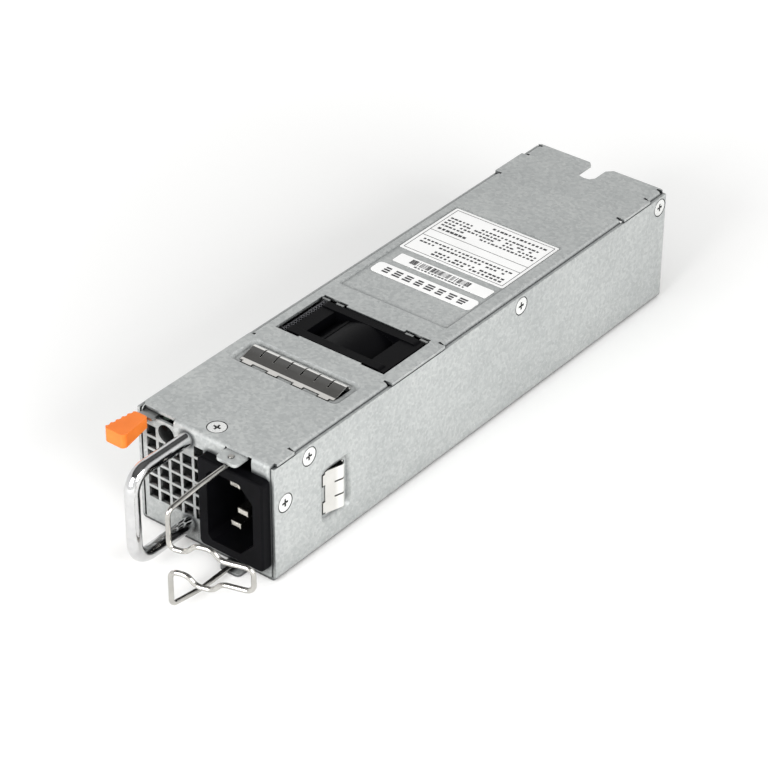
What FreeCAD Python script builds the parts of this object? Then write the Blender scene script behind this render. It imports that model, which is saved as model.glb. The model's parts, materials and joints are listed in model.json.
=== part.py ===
"""Hot swap server power supply: a 1U slim module with front handle, cord bail and side latch.

Frame: X to the right seen from the front, Y from the front panel to the rear, Z up, millimetres.
Every piece is drawn with y = 0 on the front panel's outer face and z = 0 under the floor.
The finished pieces are then moved forward by half the case length, so that the document's
origin is the middle of the case's underside.
"""
import FreeCAD, Part
import math
import os
import re

import Sketcher

vec = FreeCAD.Vector
doc = FreeCAD.newDocument("ServerPowerSupply")

# ---------------------------------------------------------------------------------------------
# Driving dimensions
# ---------------------------------------------------------------------------------------------
SIZES = {
    # sheet-metal case
    "caseWidth": 51.0,
    "caseLength": 196.0,
    "caseHeight": 40.0,
    "wall": 1.0,
    "coverGauge": 1.0,
    "seam": 0.1,
    "bendOuter": 1.5,
    "wallSetback": 0.4,
    "coverInset": 0.2,
    "flangeDrop": 8.5,
    "reliefGap": 0.9,
    "frontFlangeDepth": 9.5,
    "flangeEndGap": 1.4,
    "cornerRelief": 2.1,
    "coverCorner": 1.5,
    "latchCornerCut": 3.0,
    "latchSideInset": 1.0,
    "panelGap": 1.0,
    # flange stretches of the cover, front and rear end of each
    "rightFrontStart": 10.5,
    "rightFrontEnd": 52.8,
    "rightRearStart": 79.8,
    "sideFlangeEnd": 171.5,
    "leftStart": 49.5,
    "rearFlangeLength": 6.5,
    "rearFlangeInset": 1.6,
    # countersunk case screws
    "screwShank": 3.0,
    "screwHead": 5.6,
    "sinkOver": 0.2,
    "sinkRing": 0.6,
    "sinkRingDepth": 0.3,
    "screwLength": 2.9,
    "screwDrop": 4.8,
    "screwFrontY": 15.8,
    "screwMiddleY": 117.1,
    "screwRearInset": 3.3,
    "screwLowY": 5.1,
    "screwLowDrop": 14.8,
    "screwLowZ": "=caseHeight - screwLowDrop",
    "screwTopY": 5.5,
    "crossWidth": 0.7,
    "crossSpan": 2.6,
    "crossDepth": 1.2,
    "fitGap": 0.05,
    # front grille
    "grilleLeft": 3.6,
    "grilleDrop": 5.35,
    "grilleTop": "=caseHeight - grilleDrop",
    "grilleHole": 3.5,
    "grillePitchAcross": 4.5,
    "grillePitchDown": 4.4,
    # status light
    "lightFromLeft": 11.2,
    "lightDrop": 6.0,
    "lightHeight": "=caseHeight - lightDrop",
    "lightSize": 6.0,
    "lightProud": 0.9,
    "lightDepth": 4.0,
    "lightBoard": 1.0,
    # handle
    "handleFromLeft": 19.2,
    "handleX": "=handleFromLeft - caseWidth / 2",
    "handleRod": 4.5,
    "handleDrop": 3.9,
    "handleTop": "=caseHeight - handleDrop",
    "handleBottom": 6.5,
    "handleReach": 23.4,
    "handleBend": 6.0,
    "handleTapDepth": 6.0,
    "handleScrew": 2.4,
    "handleScrewHead": 4.4,
    "bracketGauge": 1.2,
    # inlet, IEC 60320 C14 turned on its side
    "inletFromRight": 13.3,
    "inletX": "=caseWidth / 2 - inletFromRight",
    "inletBelowMiddle": 0.2,
    "inletHeight": "=caseHeight / 2 - inletBelowMiddle",
    "inletFlangeWidth": 24.0,
    "inletFlangeHeight": 30.6,
    "inletProud": 3.5,
    "socketWidth": 17.0,
    "socketHeight": 24.2,
    "socketDepth": 16.0,
    "socketChamfer": 5.0,
    "socketWall": 1.8,
    "socketFloor": 2.5,
    "bladeWide": 4.0,
    "bladeThick": 2.0,
    "bladeTipInset": 4.5,
    "bladeSpacing": 7.0,
    "bladeOffset": 2.0,
    "bladeTail": 6.0,
    "earthLonger": 1.5,
    # cord retaining bail and its two ears
    "earWidth": 7.6,
    "earReach": 4.9,
    "earCorner": 1.4,
    "earDrop": 0.8,
    "earTop": "=caseHeight - earDrop",
    "earReliefRight": 1.6,
    "earReliefLeft": 0.6,
    "earReliefTop": 0.5,
    "bailWire": 1.6,
    "bailGap": 0.08,
    "bailFromPanel": 2.2,
    "bailArm": 27.3,
    "bailArmFlat": 14.0,
    "bailTopDrop": 3.6,
    "bailTopEnd": "=caseHeight - bailTopDrop",
    "bailBottomEnd": 4.1,
    "bailTurnedOut": 1.1,
    "bailLoopTurn": 16.4,
    "bailLoopLength": 25.4,
    "bailLoopMiddle": "=caseHeight / 2 - inletBelowMiddle",
    "bailLoopHalf": 4.0,
    "bailBulgeHalf": 7.0,
    "bailBulgeAt": 10.4,
    "bailBulgeFlat": 2.6,
    "bailBulgeSlope": 2.5,
    "bailArmBend": 3.0,
    "bailCornerBend": 2.2,
    "bailWaveBend": 4.0,
    "bailSides": 12,
    # side latch
    "latchGauge": 0.8,
    "latchUnderCover": 0.15,
    "latchPivotFromLeft": 8.5,
    "latchPivotX": "=latchPivotFromLeft - caseWidth / 2",
    "latchPivotY": 28.0,
    "latchPin": 3.0,
    "latchArmWidth": 5.0,
    "latchReach": 13.0,
    "latchTipInset": 1.9,
    "latchSlotWidth": 11.7,
    "latchFlangeDrop": 6.5,
    "hookFront": 12.0,
    "hookLength": 7.0,
    "hookHeight": 4.5,
    "hookReach": 1.7,
    "hookSweep": 1.8,
    "capFrontLeft": 0.2,
    "capFrontWidth": 7.9,
    "capFrontTop": 0.3,
    "capFrontHeight": 4.7,
    "capBackLeft": 1.2,
    "capBackWidth": 5.4,
    "capBackTop": 0.8,
    "capBackHeight": 3.1,
    "capBackGap": 2.1,
    "springWire": 0.6,
    "springTurns": 2,
    "springSides": 6,
    # embossed seats
    "seatShift": -0.8,
    "dishCorner": 3.0,
    "topDishMargin": 2.6,
    "topDishWidth": "=topFingers * fingerPitch + 2 * topDishMargin",
    "topDishLength": 12.6,
    "topDishCentre": 41.1,
    "dishDepth": 1.0,
    "dishSlope": 1.0,
    "sideDishLength": 13.4,
    "sideDishMargin": 1.75,
    "sideDishHeight": "=sideFingers * fingerPitch + 2 * sideDishMargin",
    "sideDishCentre": 27.6,
    "sideDishMiddle": 17.6,
    "labelDishWidth": 41.4,
    "labelDishLength": 59.6,
    "labelDishCentre": 116.5,
    "labelDishDepth": 0.5,
    "labelDishCorner": 1.2,
    # spring finger strips
    "fingerPitch": 5.1,
    "fingerSlit": 0.5,
    "fingerGauge": 0.25,
    "fingerRise": 1.7,
    "fingerDepth": 8.0,
    "fingerRail": 1.2,
    "crestHalf": 0.9,
    "topFingers": 7,
    "sideFingers": 3,
    # fan
    "fanHeadroom": 0.4,
    "fanSize": "=caseHeight - fanHeadroom",
    "fanDepth": 20.0,
    "fanFront": 57.0,
    "fanFlange": 3.0,
    "fanWall": 1.1,
    "fanBore": "=fanSize - 2 * fanWall",
    "fanHub": 20.0,
    "fanHubLength": 13.0,
    "fanBlades": 7,
    "fanHole": 3.4,
    "fanHoleInset": 3.8,
    "fanHolePitch": "=fanSize - 2 * fanHoleInset",
    "fanShaft": 2.0,
    "fanWindowSide": 0.7,
    "fanWindowWidth": "=fanSize + 2 * fanWindowSide",
    "fanWindowGap": 0.6,
    "fanWindowStep": 0.6,
    "fanWindowStepAt": 11.8,
    "fanClip": 1.2,
    "clipNotchInset": 0.3,
    "clipNotchWide": 9.2,
    "fanTab": 2.8,
    "fanTabGap": 2.6,
    "fanTabSlack": 0.2,
    # rear end
    "notchWidth": 6.2,
    "notchDepth": 9.8,
    "rearCutWidth": 17.0,
    "rearCutDepth": 10.0,
    "rearVent": 3.6,
    "rearVentPitch": 4.6,
    "ventFoot": 5.0,
    "ventMargin": 2.0,
    # printed circuit board and what stands on it
    "boardGauge": 1.6,
    "boardSideGap": 1.0,
    "boardWidth": "=caseWidth - 2 * wall - 2 * boardSideGap",
    "boardFront": 84.0,
    "boardHeight": 6.0,
    "tongueWidth": 36.0,
    "tongueReach": 8.0,
    "contactWidth": 2.2,
    "contactPitch": 3.0,
    "standoffSize": 5.0,
    # handle bracket and fixings
    "bracketLeft": "=handleX - 3.2",
    "bracketRight": "=handleX + 7.9",
    "bracketWeb": "=handleX + 6.2",
    "screwTopFromBar": 6.6,
    "screwTopX": "=handleX + screwTopFromBar",
    "bracketFoot": 2.5,
    "bracketEarBelow": 1.9,
    "bracketEarAbove": 2.2,
    "bracketTabHalf": 3.5,
    "bracketTabDepth": 9.0,
    "panHead": 1.6,
    # mouldings and small fittings
    "inletCorner": 1.6,
    "inletLip": 0.7,
    "socketEase": 1.5,
    "lugOffset": 8.0,
    "lugWidth": 3.2,
    "lugReach": 0.8,
    "lugLength": 2.0,
    "bladeEase": 0.6,
    "bladeStop": 0.5,
    "lightCollar": 0.7,
    "lightBoardHalf": 4.7,
    "lightBoardRise": 3.0,
    "bailEarGap": 0.1,
    "bailEnd": 0.3,
    "bailClearance": 0.15,
    "bailPivotBend": 1.0,
    "bailLoopBend": 2.5,
    "pivotGap": 0.05,
    "latchStep": 1.2,
    "latchEye": 4.2,
    "latchShelf": 1.0,
    "latchShelfGap": 0.45,
    "latchShelfHalf": 6.0,
    "latchLeg": 8.0,
    "latchPinBelow": 4.2,
    "latchPinCollar": 5.2,
    "latchPinFoot": 0.6,
    "capWall": 1.1,
    "capRound": 1.4,
    "capGrip": 0.9,
    "capGrips": 5,
    "capGripPitch": 2.2,
    "rivet": 2.4,
    "rivetHead": 3.8,
    "rivetPitch": 6.0,
    "springEase": 0.2,
    "clipPitch": 9.6,
    "clipWide": 3.6,
    "clipReach": 1.0,
    "clipSlack": 0.3,
    "topClips": 4,
    "sideClips": 2,
    "fanNose": 2.0,
    "fanCorner": 3.0,
    "fanStrut": 2.5,
    "fanTube": 8.0,
    "fanBearing": 6.0,
    "fanCupWall": 1.2,
    "fanBladeRoot": 9.0,
    "fanTipGap": 1.0,
    "fanBladeTip": "=fanBore / 2 - fanTipGap",
    "bladeRootChord": 8.6,
    "bladeRootLean": 38,
    "bladeRootThick": 1.1,
    "bladeTipChord": 9.4,
    "bladeTipLean": 52,
    "bladeTipThick": 0.8,
    "fanTubeBehind": 3.0,
    "bearingInset": 3.2,
    "bearingWide": 2.5,
    "statorGap": 0.8,
    "statorSlot": 1.2,
    "fanPost": 7.4,
    "fanPostBelow": 0.3,
    "fanGrooveWide": 2.5,
    "fanGrooveDeep": 2.1,
    "fanRibAt": 6.4,
    "fanRibWide": 0.8,
    "boardScrew": 2.4,
    "contactGauge": 0.06,
    "sheetGauge": 0.4,
    # places along the board, as shares of its length, and sizes of what stands there
    "filterAt": 0.055,
    "filterOffset": 8.0,
    "filterWide": 14.0,
    "filterLong": 9.0,
    "filterTall": 15.0,
    "filterLow": 12.0,
    "bulkFrom": 0.11,
    "bulkTo": 0.47,
    "bulkCan": 22.0,
    "bulkApart": 0.8,
    "coreFrom": 0.51,
    "coreTo": 0.71,
    "coreLeft": -22.0,
    "coreWide": 28.0,
    "coreTall": 24.0,
    "coreLimb": 4.0,
    "windingInset": 1.5,
    "chokeLeft": 9.0,
    "chokeWide": 11.0,
    "chokeSize": 18.0,
    "chokeEye": 7.0,
    "sinkFrom": 0.745,
    "sinkTo": 0.872,
    "sinkInset": 0.5,
    "sinkGauge": 2.0,
    "sinkTall": 22.0,
    "canWide": 8.0,
    "canTall": 16.0,
    "canPitch": 9.0,
    "canBehind": 12.0,
    "ratingCorner": 0.6,
    "noteCorner": 1.6,
    # labels
    "labelGauge": 0.1,
    "ratingWidth": 40.0,
    "ratingLength": 30.0,
    "ratingCentre": 130.8,
    "stripWidth": 35.8,
    "stripLength": 5.2,
    "stripCentre": 110.5,
    "noteWidth": 38.4,
    "noteLength": 6.2,
    "noteCentre": 102.3,
}

sheet = doc.addObject("Spreadsheet::Sheet", "Sizes")
for row, alias in enumerate(SIZES, start=1):
    sheet.set(f"A{row}", alias)
    sheet.setAlias(f"B{row}", alias)
for row, value in enumerate(SIZES.values(), start=1):
    sheet.set(f"B{row}", str(value))
doc.recompute()


def size(alias):
    """The number in the sheet's cell of that alias."""
    return float(getattr(sheet, alias))


def linked(text):
    """An expression text with each alias turned into a reference to the sheet."""
    return re.sub(r"[A-Za-z]\w*", lambda m: "Sizes." + m.group(0) if m.group(0) in SIZES else m.group(0),
                  text)


def bind(obj, prop, text):
    obj.setExpression(prop, linked(str(text)))


# Places that several pieces share, as expression texts
HALF = "(caseWidth / 2)"
INNER = "(caseWidth / 2 - wall)"
COVER_UNDER = "(caseHeight - coverGauge)"
WALL_TOP = "(caseHeight - coverGauge - seam)"
FLANGE_OUT = "(caseWidth / 2 - wall - seam)"
FLANGE_IN = "(caseWidth / 2 - wall - seam - coverGauge)"
SCREW_Z = "(caseHeight - screwDrop)"
REAR_SCREW_Y = "(caseLength - screwRearInset)"
LIGHT_X = "(lightFromLeft - caseWidth / 2)"
EAR_UNDER = "(earTop - coverGauge)"
PIVOT_Y = "(0 - bailFromPanel)"
LATCH_LOW = "(caseHeight - coverGauge - latchUnderCover - latchGauge)"
LATCH_LEFT = "(panelGap + seam - caseWidth / 2 + wall + 0.4)"
PANEL_BACK = "(coverGauge)"
DISH_FLOOR = "(caseHeight - dishDepth)"
FAN_BACK = "(fanFront + fanDepth)"
FAN_Z = "(caseHeight / 2)"
BOARD_TOP = "(boardHeight + boardGauge)"
BOARD_BACK = "(caseLength - wall - 1)"


# ---------------------------------------------------------------------------------------------
# Small modelling vocabulary
# ---------------------------------------------------------------------------------------------
AXES = {"X": vec(1, 0, 0), "Y": vec(0, 1, 0), "Z": vec(0, 0, 1)}


def plain(name):
    return name.replace(" ", "_")


def box(name, xs, ys, zs):
    """A Part::Box between pairs of expression texts along each axis."""
    obj = doc.addObject("Part::Box", plain(name))
    for prop, axis, (low, high) in (("Length", "x", xs), ("Width", "y", ys), ("Height", "z", zs)):
        bind(obj, prop, f"({high}) - ({low})")
        bind(obj, f"Placement.Base.{axis}", low)
    return obj


def turned(obj, axis, centre, start):
    """Stand a cylinder or cone, drawn along Z, on an axis through a centre, from start."""
    obj.Placement = FreeCAD.Placement(vec(0, 0, 0), FreeCAD.Rotation(vec(0, 0, 1), AXES[axis]))
    places = list(centre)
    places.insert("XYZ".index(axis), start)
    for letter, text in zip("xyz", places):
        bind(obj, f"Placement.Base.{letter}", text)
    return obj


def cylinder(name, axis, centre, span, diameter):
    obj = doc.addObject("Part::Cylinder", plain(name))
    bind(obj, "Radius", f"({diameter}) / 2")
    bind(obj, "Height", f"({span[1]}) - ({span[0]})")
    return turned(obj, axis, centre, span[0])


def prism(name, axis, centre, span, across, sides):
    """A regular prism, measured across its corners."""
    obj = doc.addObject("Part::Prism", plain(name))
    bind(obj, "Polygon", sides)
    bind(obj, "Circumradius", f"({across}) / 2")
    bind(obj, "Height", f"({span[1]}) - ({span[0]})")
    return turned(obj, axis, centre, span[0])


def cone(name, axis, centre, span, start_diameter, end_diameter):
    obj = doc.addObject("Part::Cone", plain(name))
    bind(obj, "Radius1", f"({start_diameter}) / 2")
    bind(obj, "Radius2", f"({end_diameter}) / 2")
    bind(obj, "Height", f"({span[1]}) - ({span[0]})")
    return turned(obj, axis, centre, span[0])


def fuse(name, shapes):
    obj = doc.addObject("Part::MultiFuse", plain(name))
    obj.Shapes = shapes
    obj.Refine = True
    return obj


def cut(name, base, tools):
    obj = doc.addObject("Part::Cut", plain(name))
    obj.Base = base
    obj.Tool = tools[0] if len(tools) == 1 else fuse(name + "_tools", tools)
    obj.Refine = True
    return obj


def group(name, shapes):
    """Separate solids that share one node."""
    obj = doc.addObject("Part::Compound", plain(name))
    obj.Links = shapes
    return obj


def rounded(name, base, radius, wanted):
    """Fillet the straight edges of base for which wanted(low corner, high corner) holds."""
    doc.recompute()
    edges = []
    for index, edge in enumerate(base.Shape.Edges, start=1):
        bounds = edge.BoundBox
        low = vec(bounds.XMin, bounds.YMin, bounds.ZMin)
        high = vec(bounds.XMax, bounds.YMax, bounds.ZMax)
        if isinstance(edge.Curve, Part.Line) and wanted(low, high):
            edges.append((index, radius, radius))
    obj = doc.addObject("Part::Fillet", plain(name))
    obj.Base = base
    obj.Edges = edges
    return obj


def near(a, b):
    return abs(a - b) < 0.01


def along_z(low, high):
    return near(low.x, high.x) and near(low.y, high.y)


def frustum(name, facing, centre, outline, start, stop, slope, corner):
    """A dish-shaped block: full outline at start, smaller by slope on each side at stop.

    facing is the axis it sinks along, centre and outline are in the two other axes' order.
    """
    obj = doc.addObject("Part::Wedge", plain(name))
    first, second = outline
    for prop, text in (
        ("Xmin", f"0 - ({first}) / 2"), ("Xmax", f"({first}) / 2"),
        ("Zmin", f"0 - ({second}) / 2"), ("Zmax", f"({second}) / 2"),
        ("X2min", f"{slope} - ({first}) / 2"), ("X2max", f"({first}) / 2 - {slope}"),
        ("Z2min", f"{slope} - ({second}) / 2"), ("Z2max", f"({second}) / 2 - {slope}"),
    ):
        bind(obj, prop, text)
    obj.Ymin = 0
    bind(obj, "Ymax", f"({start}) - ({stop})")
    if facing == "Z":
        turn = FreeCAD.Rotation(vec(1, 0, 0), vec(0, 0, -1), vec(0, 1, 0), "XYZ")
        places = (centre[0], centre[1], start)
    else:
        turn = FreeCAD.Rotation(vec(0, 1, 0), vec(-1, 0, 0), vec(0, 0, 1), "XYZ")
        places = (start, centre[0], centre[1])
    obj.Placement = FreeCAD.Placement(vec(0, 0, 0), turn)
    for letter, text in zip("xyz", places):
        bind(obj, f"Placement.Base.{letter}", text)
    doc.recompute()
    slanted = []
    for index, edge in enumerate(obj.Shape.Edges, start=1):
        run = edge.Vertexes[1].Point - edge.Vertexes[0].Point
        if all(abs(part) > 0.01 for part in run):
            slanted.append((index, size(corner), size(corner)))
    soft = doc.addObject("Part::Fillet", plain(name + "_round"))
    soft.Base = obj
    soft.Edges = slanted
    return soft


def dish(name, facing, face, centre, outline, depth, slope, gauge, corner):
    """The sheet pushed in behind a seat, and the block that clears the seat itself."""
    over = 0.5
    backing = frustum(name + "_back", facing, centre, [f"{side} + 2 * {gauge}" for side in outline],
                      f"{face} - {gauge} / 2", f"{face} - {depth} - {gauge}", slope, corner)
    clear = [f"{side} + 2 * {over} * {slope} / {depth}" for side in outline]
    seat = frustum(name + "_seat", facing, centre, clear, f"{face} + {over}", f"{face} - {depth}",
                   f"({slope} + {over} * {slope} / {depth})", corner)
    return backing, seat


def below(sign, face, start, stop):
    """The span from start to stop under a face that looks towards sign, lowest end first."""
    ends = (f"{face} - ({sign}) * ({start})", f"{face} - ({sign}) * ({stop})")
    return ends if sign < 0 else ends[::-1]


def sunk_cone(name, axis, sign, centre, span, wide, narrow):
    return cone(name, axis, centre, span, *((wide, narrow) if sign < 0 else (narrow, wide)))


def countersunk(name, axis, sign, centre, face, gauge):
    """The hole for a case screw: a cone through the sheet, a ring round the head, a clear shank."""
    return [
        sunk_cone(name + "_cone", axis, sign, centre, below(sign, face, 0, gauge),
                  "screwHead + sinkOver", "screwShank"),
        cylinder(name + "_ring", axis, centre, below(sign, face, "0 - 1", "sinkRingDepth"),
                 "screwHead + sinkRing"),
        cylinder(name + "_shank", axis, centre, below(sign, face, 0, "screwLength + 1"),
                 "screwShank + 2 * fitGap"),
    ]


def case_screw(name, axis, sign, centre, face, gauge):
    """A countersunk cross-recess screw whose head lies flush with the face."""
    head = sunk_cone(name + "_head", axis, sign, centre, below(sign, face, "fitGap", gauge),
                     "screwHead", "screwShank - fitGap")
    thread = cylinder(name + "_thread", axis, centre, below(sign, face, f"{gauge} / 2", "screwLength"),
                      "screwShank - 2 * fitGap")
    tools = []
    for index, (wide, tall) in enumerate((("crossSpan", "crossWidth"), ("crossWidth", "crossSpan"))):
        spans = [(f"{centre[0]} - {wide} / 2", f"{centre[0]} + {wide} / 2"),
                 (f"{centre[1]} - {tall} / 2", f"{centre[1]} + {tall} / 2")]
        spans.insert("XYZ".index(axis), below(sign, face, "0 - 1", "crossDepth"))
        tools.append(box(f"{name}_cross{index}", *spans))
    return cut(name, fuse(name + "_blank", [head, thread]), tools)


# PartDesign ---------------------------------------------------------------------------------
def body(name):
    return doc.addObject("PartDesign::Body", plain(name))


def sketch(owner, name, role, offset="0"):
    """A sketch on one of the body's own origin planes, moved along that plane's normal."""
    made = owner.newObject("Sketcher::SketchObject", plain(name))
    plane = next(item for item in owner.Origin.OriginFeatures if item.Role == role)
    made.AttachmentSupport = [(plane, "")]
    made.MapMode = "FlatFace"
    bind(made, "AttachmentOffset.Base.z", offset)
    return made


def place_point(made, geometry, end, across, up):
    for kind, text in (("DistanceX", across), ("DistanceY", up)):
        index = made.addConstraint(Sketcher.Constraint(kind, -1, 1, geometry, end, 1.0))
        made.setExpression(f"Constraints[{index}]", linked(text))


def polygon(made, points):
    """A closed outline whose every corner is bound to its own pair of expressions."""
    count = len(points)
    start = made.GeometryCount
    turns = [2 * math.pi * i / count for i in range(count)]
    rough = [vec(math.cos(turn), math.sin(turn), 0) * 10 for turn in turns]
    for i in range(count):
        made.addGeometry(Part.LineSegment(rough[i], rough[(i + 1) % count]), False)
    for i in range(count):
        made.addConstraint(Sketcher.Constraint("Coincident", start + i, 2, start + (i + 1) % count, 1))
    for i, (across, up) in enumerate(points):
        place_point(made, start + i, 1, across, up)


def rectangle(made, across, up):
    polygon(made, [(across[0], up[0]), (across[1], up[0]), (across[1], up[1]), (across[0], up[1])])


def circle(made, across, up, diameter):
    index = made.addGeometry(Part.Circle(vec(0, 0, 0), vec(0, 0, 1), 1.0), False)
    place_point(made, index, 3, across, up)
    limit = made.addConstraint(Sketcher.Constraint("Diameter", index, 2.0))
    made.setExpression(f"Constraints[{limit}]", linked(diameter))


def pad(owner, name, profile, length, reverse=False, middle=False):
    made = owner.newObject("PartDesign::Pad", plain(name))
    made.Profile = profile
    bind(made, "Length", length)
    made.Reversed = reverse
    made.Midplane = middle
    owner.Tip = made
    return made


def pocket(owner, name, profile, length, reverse=False, middle=False):
    made = owner.newObject("PartDesign::Pocket", plain(name))
    made.Profile = profile
    bind(made, "Length", length)
    made.Reversed = reverse
    made.Midplane = middle
    owner.Tip = made
    return made


def repeat(owner, name, features, direction, step, count, reverse=False):
    """A row of copies along one of the body's own axes, a step apart."""
    made = owner.newObject("PartDesign::LinearPattern", plain(name))
    made.Originals = features
    axis = next(item for item in owner.Origin.OriginFeatures if item.Role == direction)
    made.Direction = (axis, [""])
    made.Mode = "Spacing"
    bind(made, "Offset", step)
    bind(made, "Occurrences", count)
    made.Reversed = reverse
    owner.Tip = made
    return made


# ---------------------------------------------------------------------------------------------
# Bent wire and rod
# ---------------------------------------------------------------------------------------------
def bent_path(name, points, radii):
    """Straight runs through the points, joined at each inner point by a tangent arc."""
    edges = []
    last = points[0]
    for i in range(1, len(points) - 1):
        corner = points[i]
        back = (points[i - 1] - corner).normalize()
        ahead = (points[i + 1] - corner).normalize()
        half_turn = back.getAngle(ahead) / 2
        reach = radii[i - 1] / math.tan(half_turn)
        start = corner + back * reach
        stop = corner + ahead * reach
        middle_way = (back + ahead).normalize()
        middle = corner + middle_way * (radii[i - 1] / math.sin(half_turn) - radii[i - 1])
        edges.append(Part.LineSegment(last, start).toShape())
        edges.append(Part.Arc(start, middle, stop).toShape())
        last = stop
    edges.append(Part.LineSegment(last, points[-1]).toShape())
    path = doc.addObject("Part::Feature", plain(name))
    path.Shape = Part.Wire(edges)
    return path


def swept_rod(name, path, start, direction, diameter, sides=0):
    """A rod along a path that leaves its start point in the given direction, round or with sides."""
    ring = doc.addObject("Part::RegularPolygon" if sides else "Part::Circle", plain(name + "_section"))
    bind(ring, "Circumradius" if sides else "Radius", f"({diameter}) / 2")
    if sides:
        bind(ring, "Polygon", sides)
    ring.Placement = FreeCAD.Placement(start, FreeCAD.Rotation(vec(0, 0, 1), direction))
    rod = doc.addObject("Part::Sweep", plain(name))
    rod.Sections = [ring]
    rod.Spine = (path, [f"Edge{i + 1}" for i in range(len(path.Shape.Edges))])
    rod.Solid = True
    rod.Frenet = False
    return rod


# ---------------------------------------------------------------------------------------------
# Sheet-metal case
# ---------------------------------------------------------------------------------------------
def ear(name, low, high):
    """A rounded lug standing forward of the panel, which the bail's end turns in."""
    blank = box(name + "_blank", ("inletX - earWidth / 2", "inletX + earWidth / 2"),
                ("0 - earReach", "coverGauge"), (low, high))
    front = -size("earReach")
    return rounded(name, blank, size("earCorner"), lambda a, b: along_z(a, b) and near(a.y, front))


def ear_hole(name, low, high):
    return cylinder(name, "Z", ["inletX", PIVOT_Y], (low, high), "bailWire + 2 * bailGap")


RIGHT_SCREWS = ["screwFrontY", "screwMiddleY", REAR_SCREW_Y]
LEFT_SCREWS = ["leftStart + 12", "screwMiddleY", REAR_SCREW_Y]


def strip_windows(name, seat, across, deep, clips, along_x):
    """Under a finger strip: the window for its fingers, and a clip slot and a rear slot per clip."""
    middle, width = across
    tools = []

    def opening(label, span, ys):
        spans = (span, ys, deep) if along_x else (deep, ys, span)
        tools.append(box(f"{name}_{label}", *spans))

    opening("window", (f"{middle} - {width} / 2", f"{middle} + {width} / 2"),
            (f"{seat} - fingerDepth / 2 + fingerRail / 2", f"{seat} + fingerDepth / 2 - fingerRail / 2"))
    front, back = f"({seat} - fingerDepth / 2)", f"({seat} + fingerDepth / 2)"
    for i in range(int(size(clips))):
        centre = f"({middle} + ({i} - ({clips} - 1) / 2) * clipPitch)"
        span = (f"{centre} - clipWide / 2 - 2 * clipSlack", f"{centre} + clipWide / 2 + clipSlack")
        opening(f"clip_slot{i}", span, (f"{front} - clipReach - clipSlack / 2", f"{front} - clipSlack / 3"))
        opening(f"rear_slot{i}", span, (f"{back} + fitGap", f"{back} + 2.5 * clipSlack"))
    return tools


def make_chassis():
    """Floor, two side walls and the rear wall, folded from one sheet, with the lower ear."""
    outer = box("chassis_outer", (f"0 - {HALF}", HALF), ("wallSetback", "caseLength"), ("0", WALL_TOP))
    half = size("caseWidth") / 2
    folded = rounded("chassis_folded", outer, size("bendOuter"),
                     lambda a, b: near(a.z, 0) and near(b.z, 0) and near(abs(a.x), half) and near(a.x, b.x))
    inner = box("chassis_inner", (f"0 - {INNER}", INNER), ("0 - 1", "caseLength - wall"),
                ("wall", "caseHeight"))
    tray = cut("chassis_tray", folded, [inner])
    backing, seat = dish("side_dish", "X", HALF, ["sideDishCentre", "sideDishMiddle"],
                         ["sideDishLength", "sideDishHeight"], "dishDepth", "dishSlope", "wall", "dishCorner")
    whole = fuse("chassis_whole", [tray, backing, ear("lower_ear", "0", "wall")])

    tools = [seat, ear_hole("lower_ear_hole", "0 - 1", "wall + 1")]
    tools.append(box("fan_window_floor", ("0 - fanWindowWidth / 2", "fanWindowWidth / 2"),
                     ("fanFront - fanWindowGap", f"{FAN_BACK} + fanWindowGap"), ("0 - 1", "wall + 1")))
    tools.append(box("hook_window", (f"0 - {HALF} - 1", f"0 - {INNER} + 0.1"),
                     ("hookFront - hookSweep", "hookFront + hookLength + 1"),
                     (f"{LATCH_LOW} - latchFlangeDrop - 0.3",
                      f"{LATCH_LOW} - latchFlangeDrop + hookHeight + 0.5")))
    tools += countersunk("chassis_low", "X", 1, ["screwLowY", "screwLowZ"], HALF, "wall")
    for i, y in enumerate(RIGHT_SCREWS):
        tools += countersunk(f"chassis_right{i}", "X", 1, [y, SCREW_Z], HALF, "wall")
    for i, y in enumerate(LEFT_SCREWS):
        tools += countersunk(f"chassis_left{i}", "X", -1, [y, SCREW_Z], f"(0 - {HALF})", "wall")
    for i, y in enumerate(RIVETS):
        tools += rivet_hole(f"chassis_rivet{i}", y)
    tools += strip_windows("side_strip", "sideDishCentre", ("sideDishMiddle", "sideFingers * fingerPitch"),
                           (f"{HALF} - dishDepth - wall - 1", f"{HALF} + 1"), "sideClips", along_x=False)

    # rear wall: slot for the board's tongue, a cut under the cover's notch and a bank of vents
    rear = ("caseLength - wall - 1", "caseLength + 1")
    tools.append(box("tongue_slot", ("0 - tongueWidth / 2 - 0.5", "tongueWidth / 2 + 0.5"), rear,
                     ("boardHeight - 2.5", f"{BOARD_TOP} + 2.5")))
    tools.append(box("rear_cut", ("0 - rearCutWidth / 2", "rearCutWidth / 2"), rear,
                     ("caseHeight - rearCutDepth", "caseHeight + 1")))
    bottom = f"({BOARD_TOP} + ventFoot)"
    wide = size("caseWidth") - 2 * size("wall") - 2 * size("ventMargin")
    tall = (size("caseHeight") - size("rearCutDepth") - size("boardHeight") - size("boardGauge")
            - size("ventFoot"))
    columns, lines = int(wide / size("rearVentPitch")), int(tall / size("rearVentPitch"))
    for column in range(columns):
        for line in range(lines):
            left = f"(({column} - ({columns} - 1) / 2) * rearVentPitch - rearVent / 2)"
            low = f"({bottom} + {line} * rearVentPitch)"
            tools.append(box(f"rear_vent_{column}_{line}", (left, f"{left} + rearVent"), rear,
                             (low, f"{low} + rearVent")))
    return cut("chassis", whole, tools)


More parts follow.
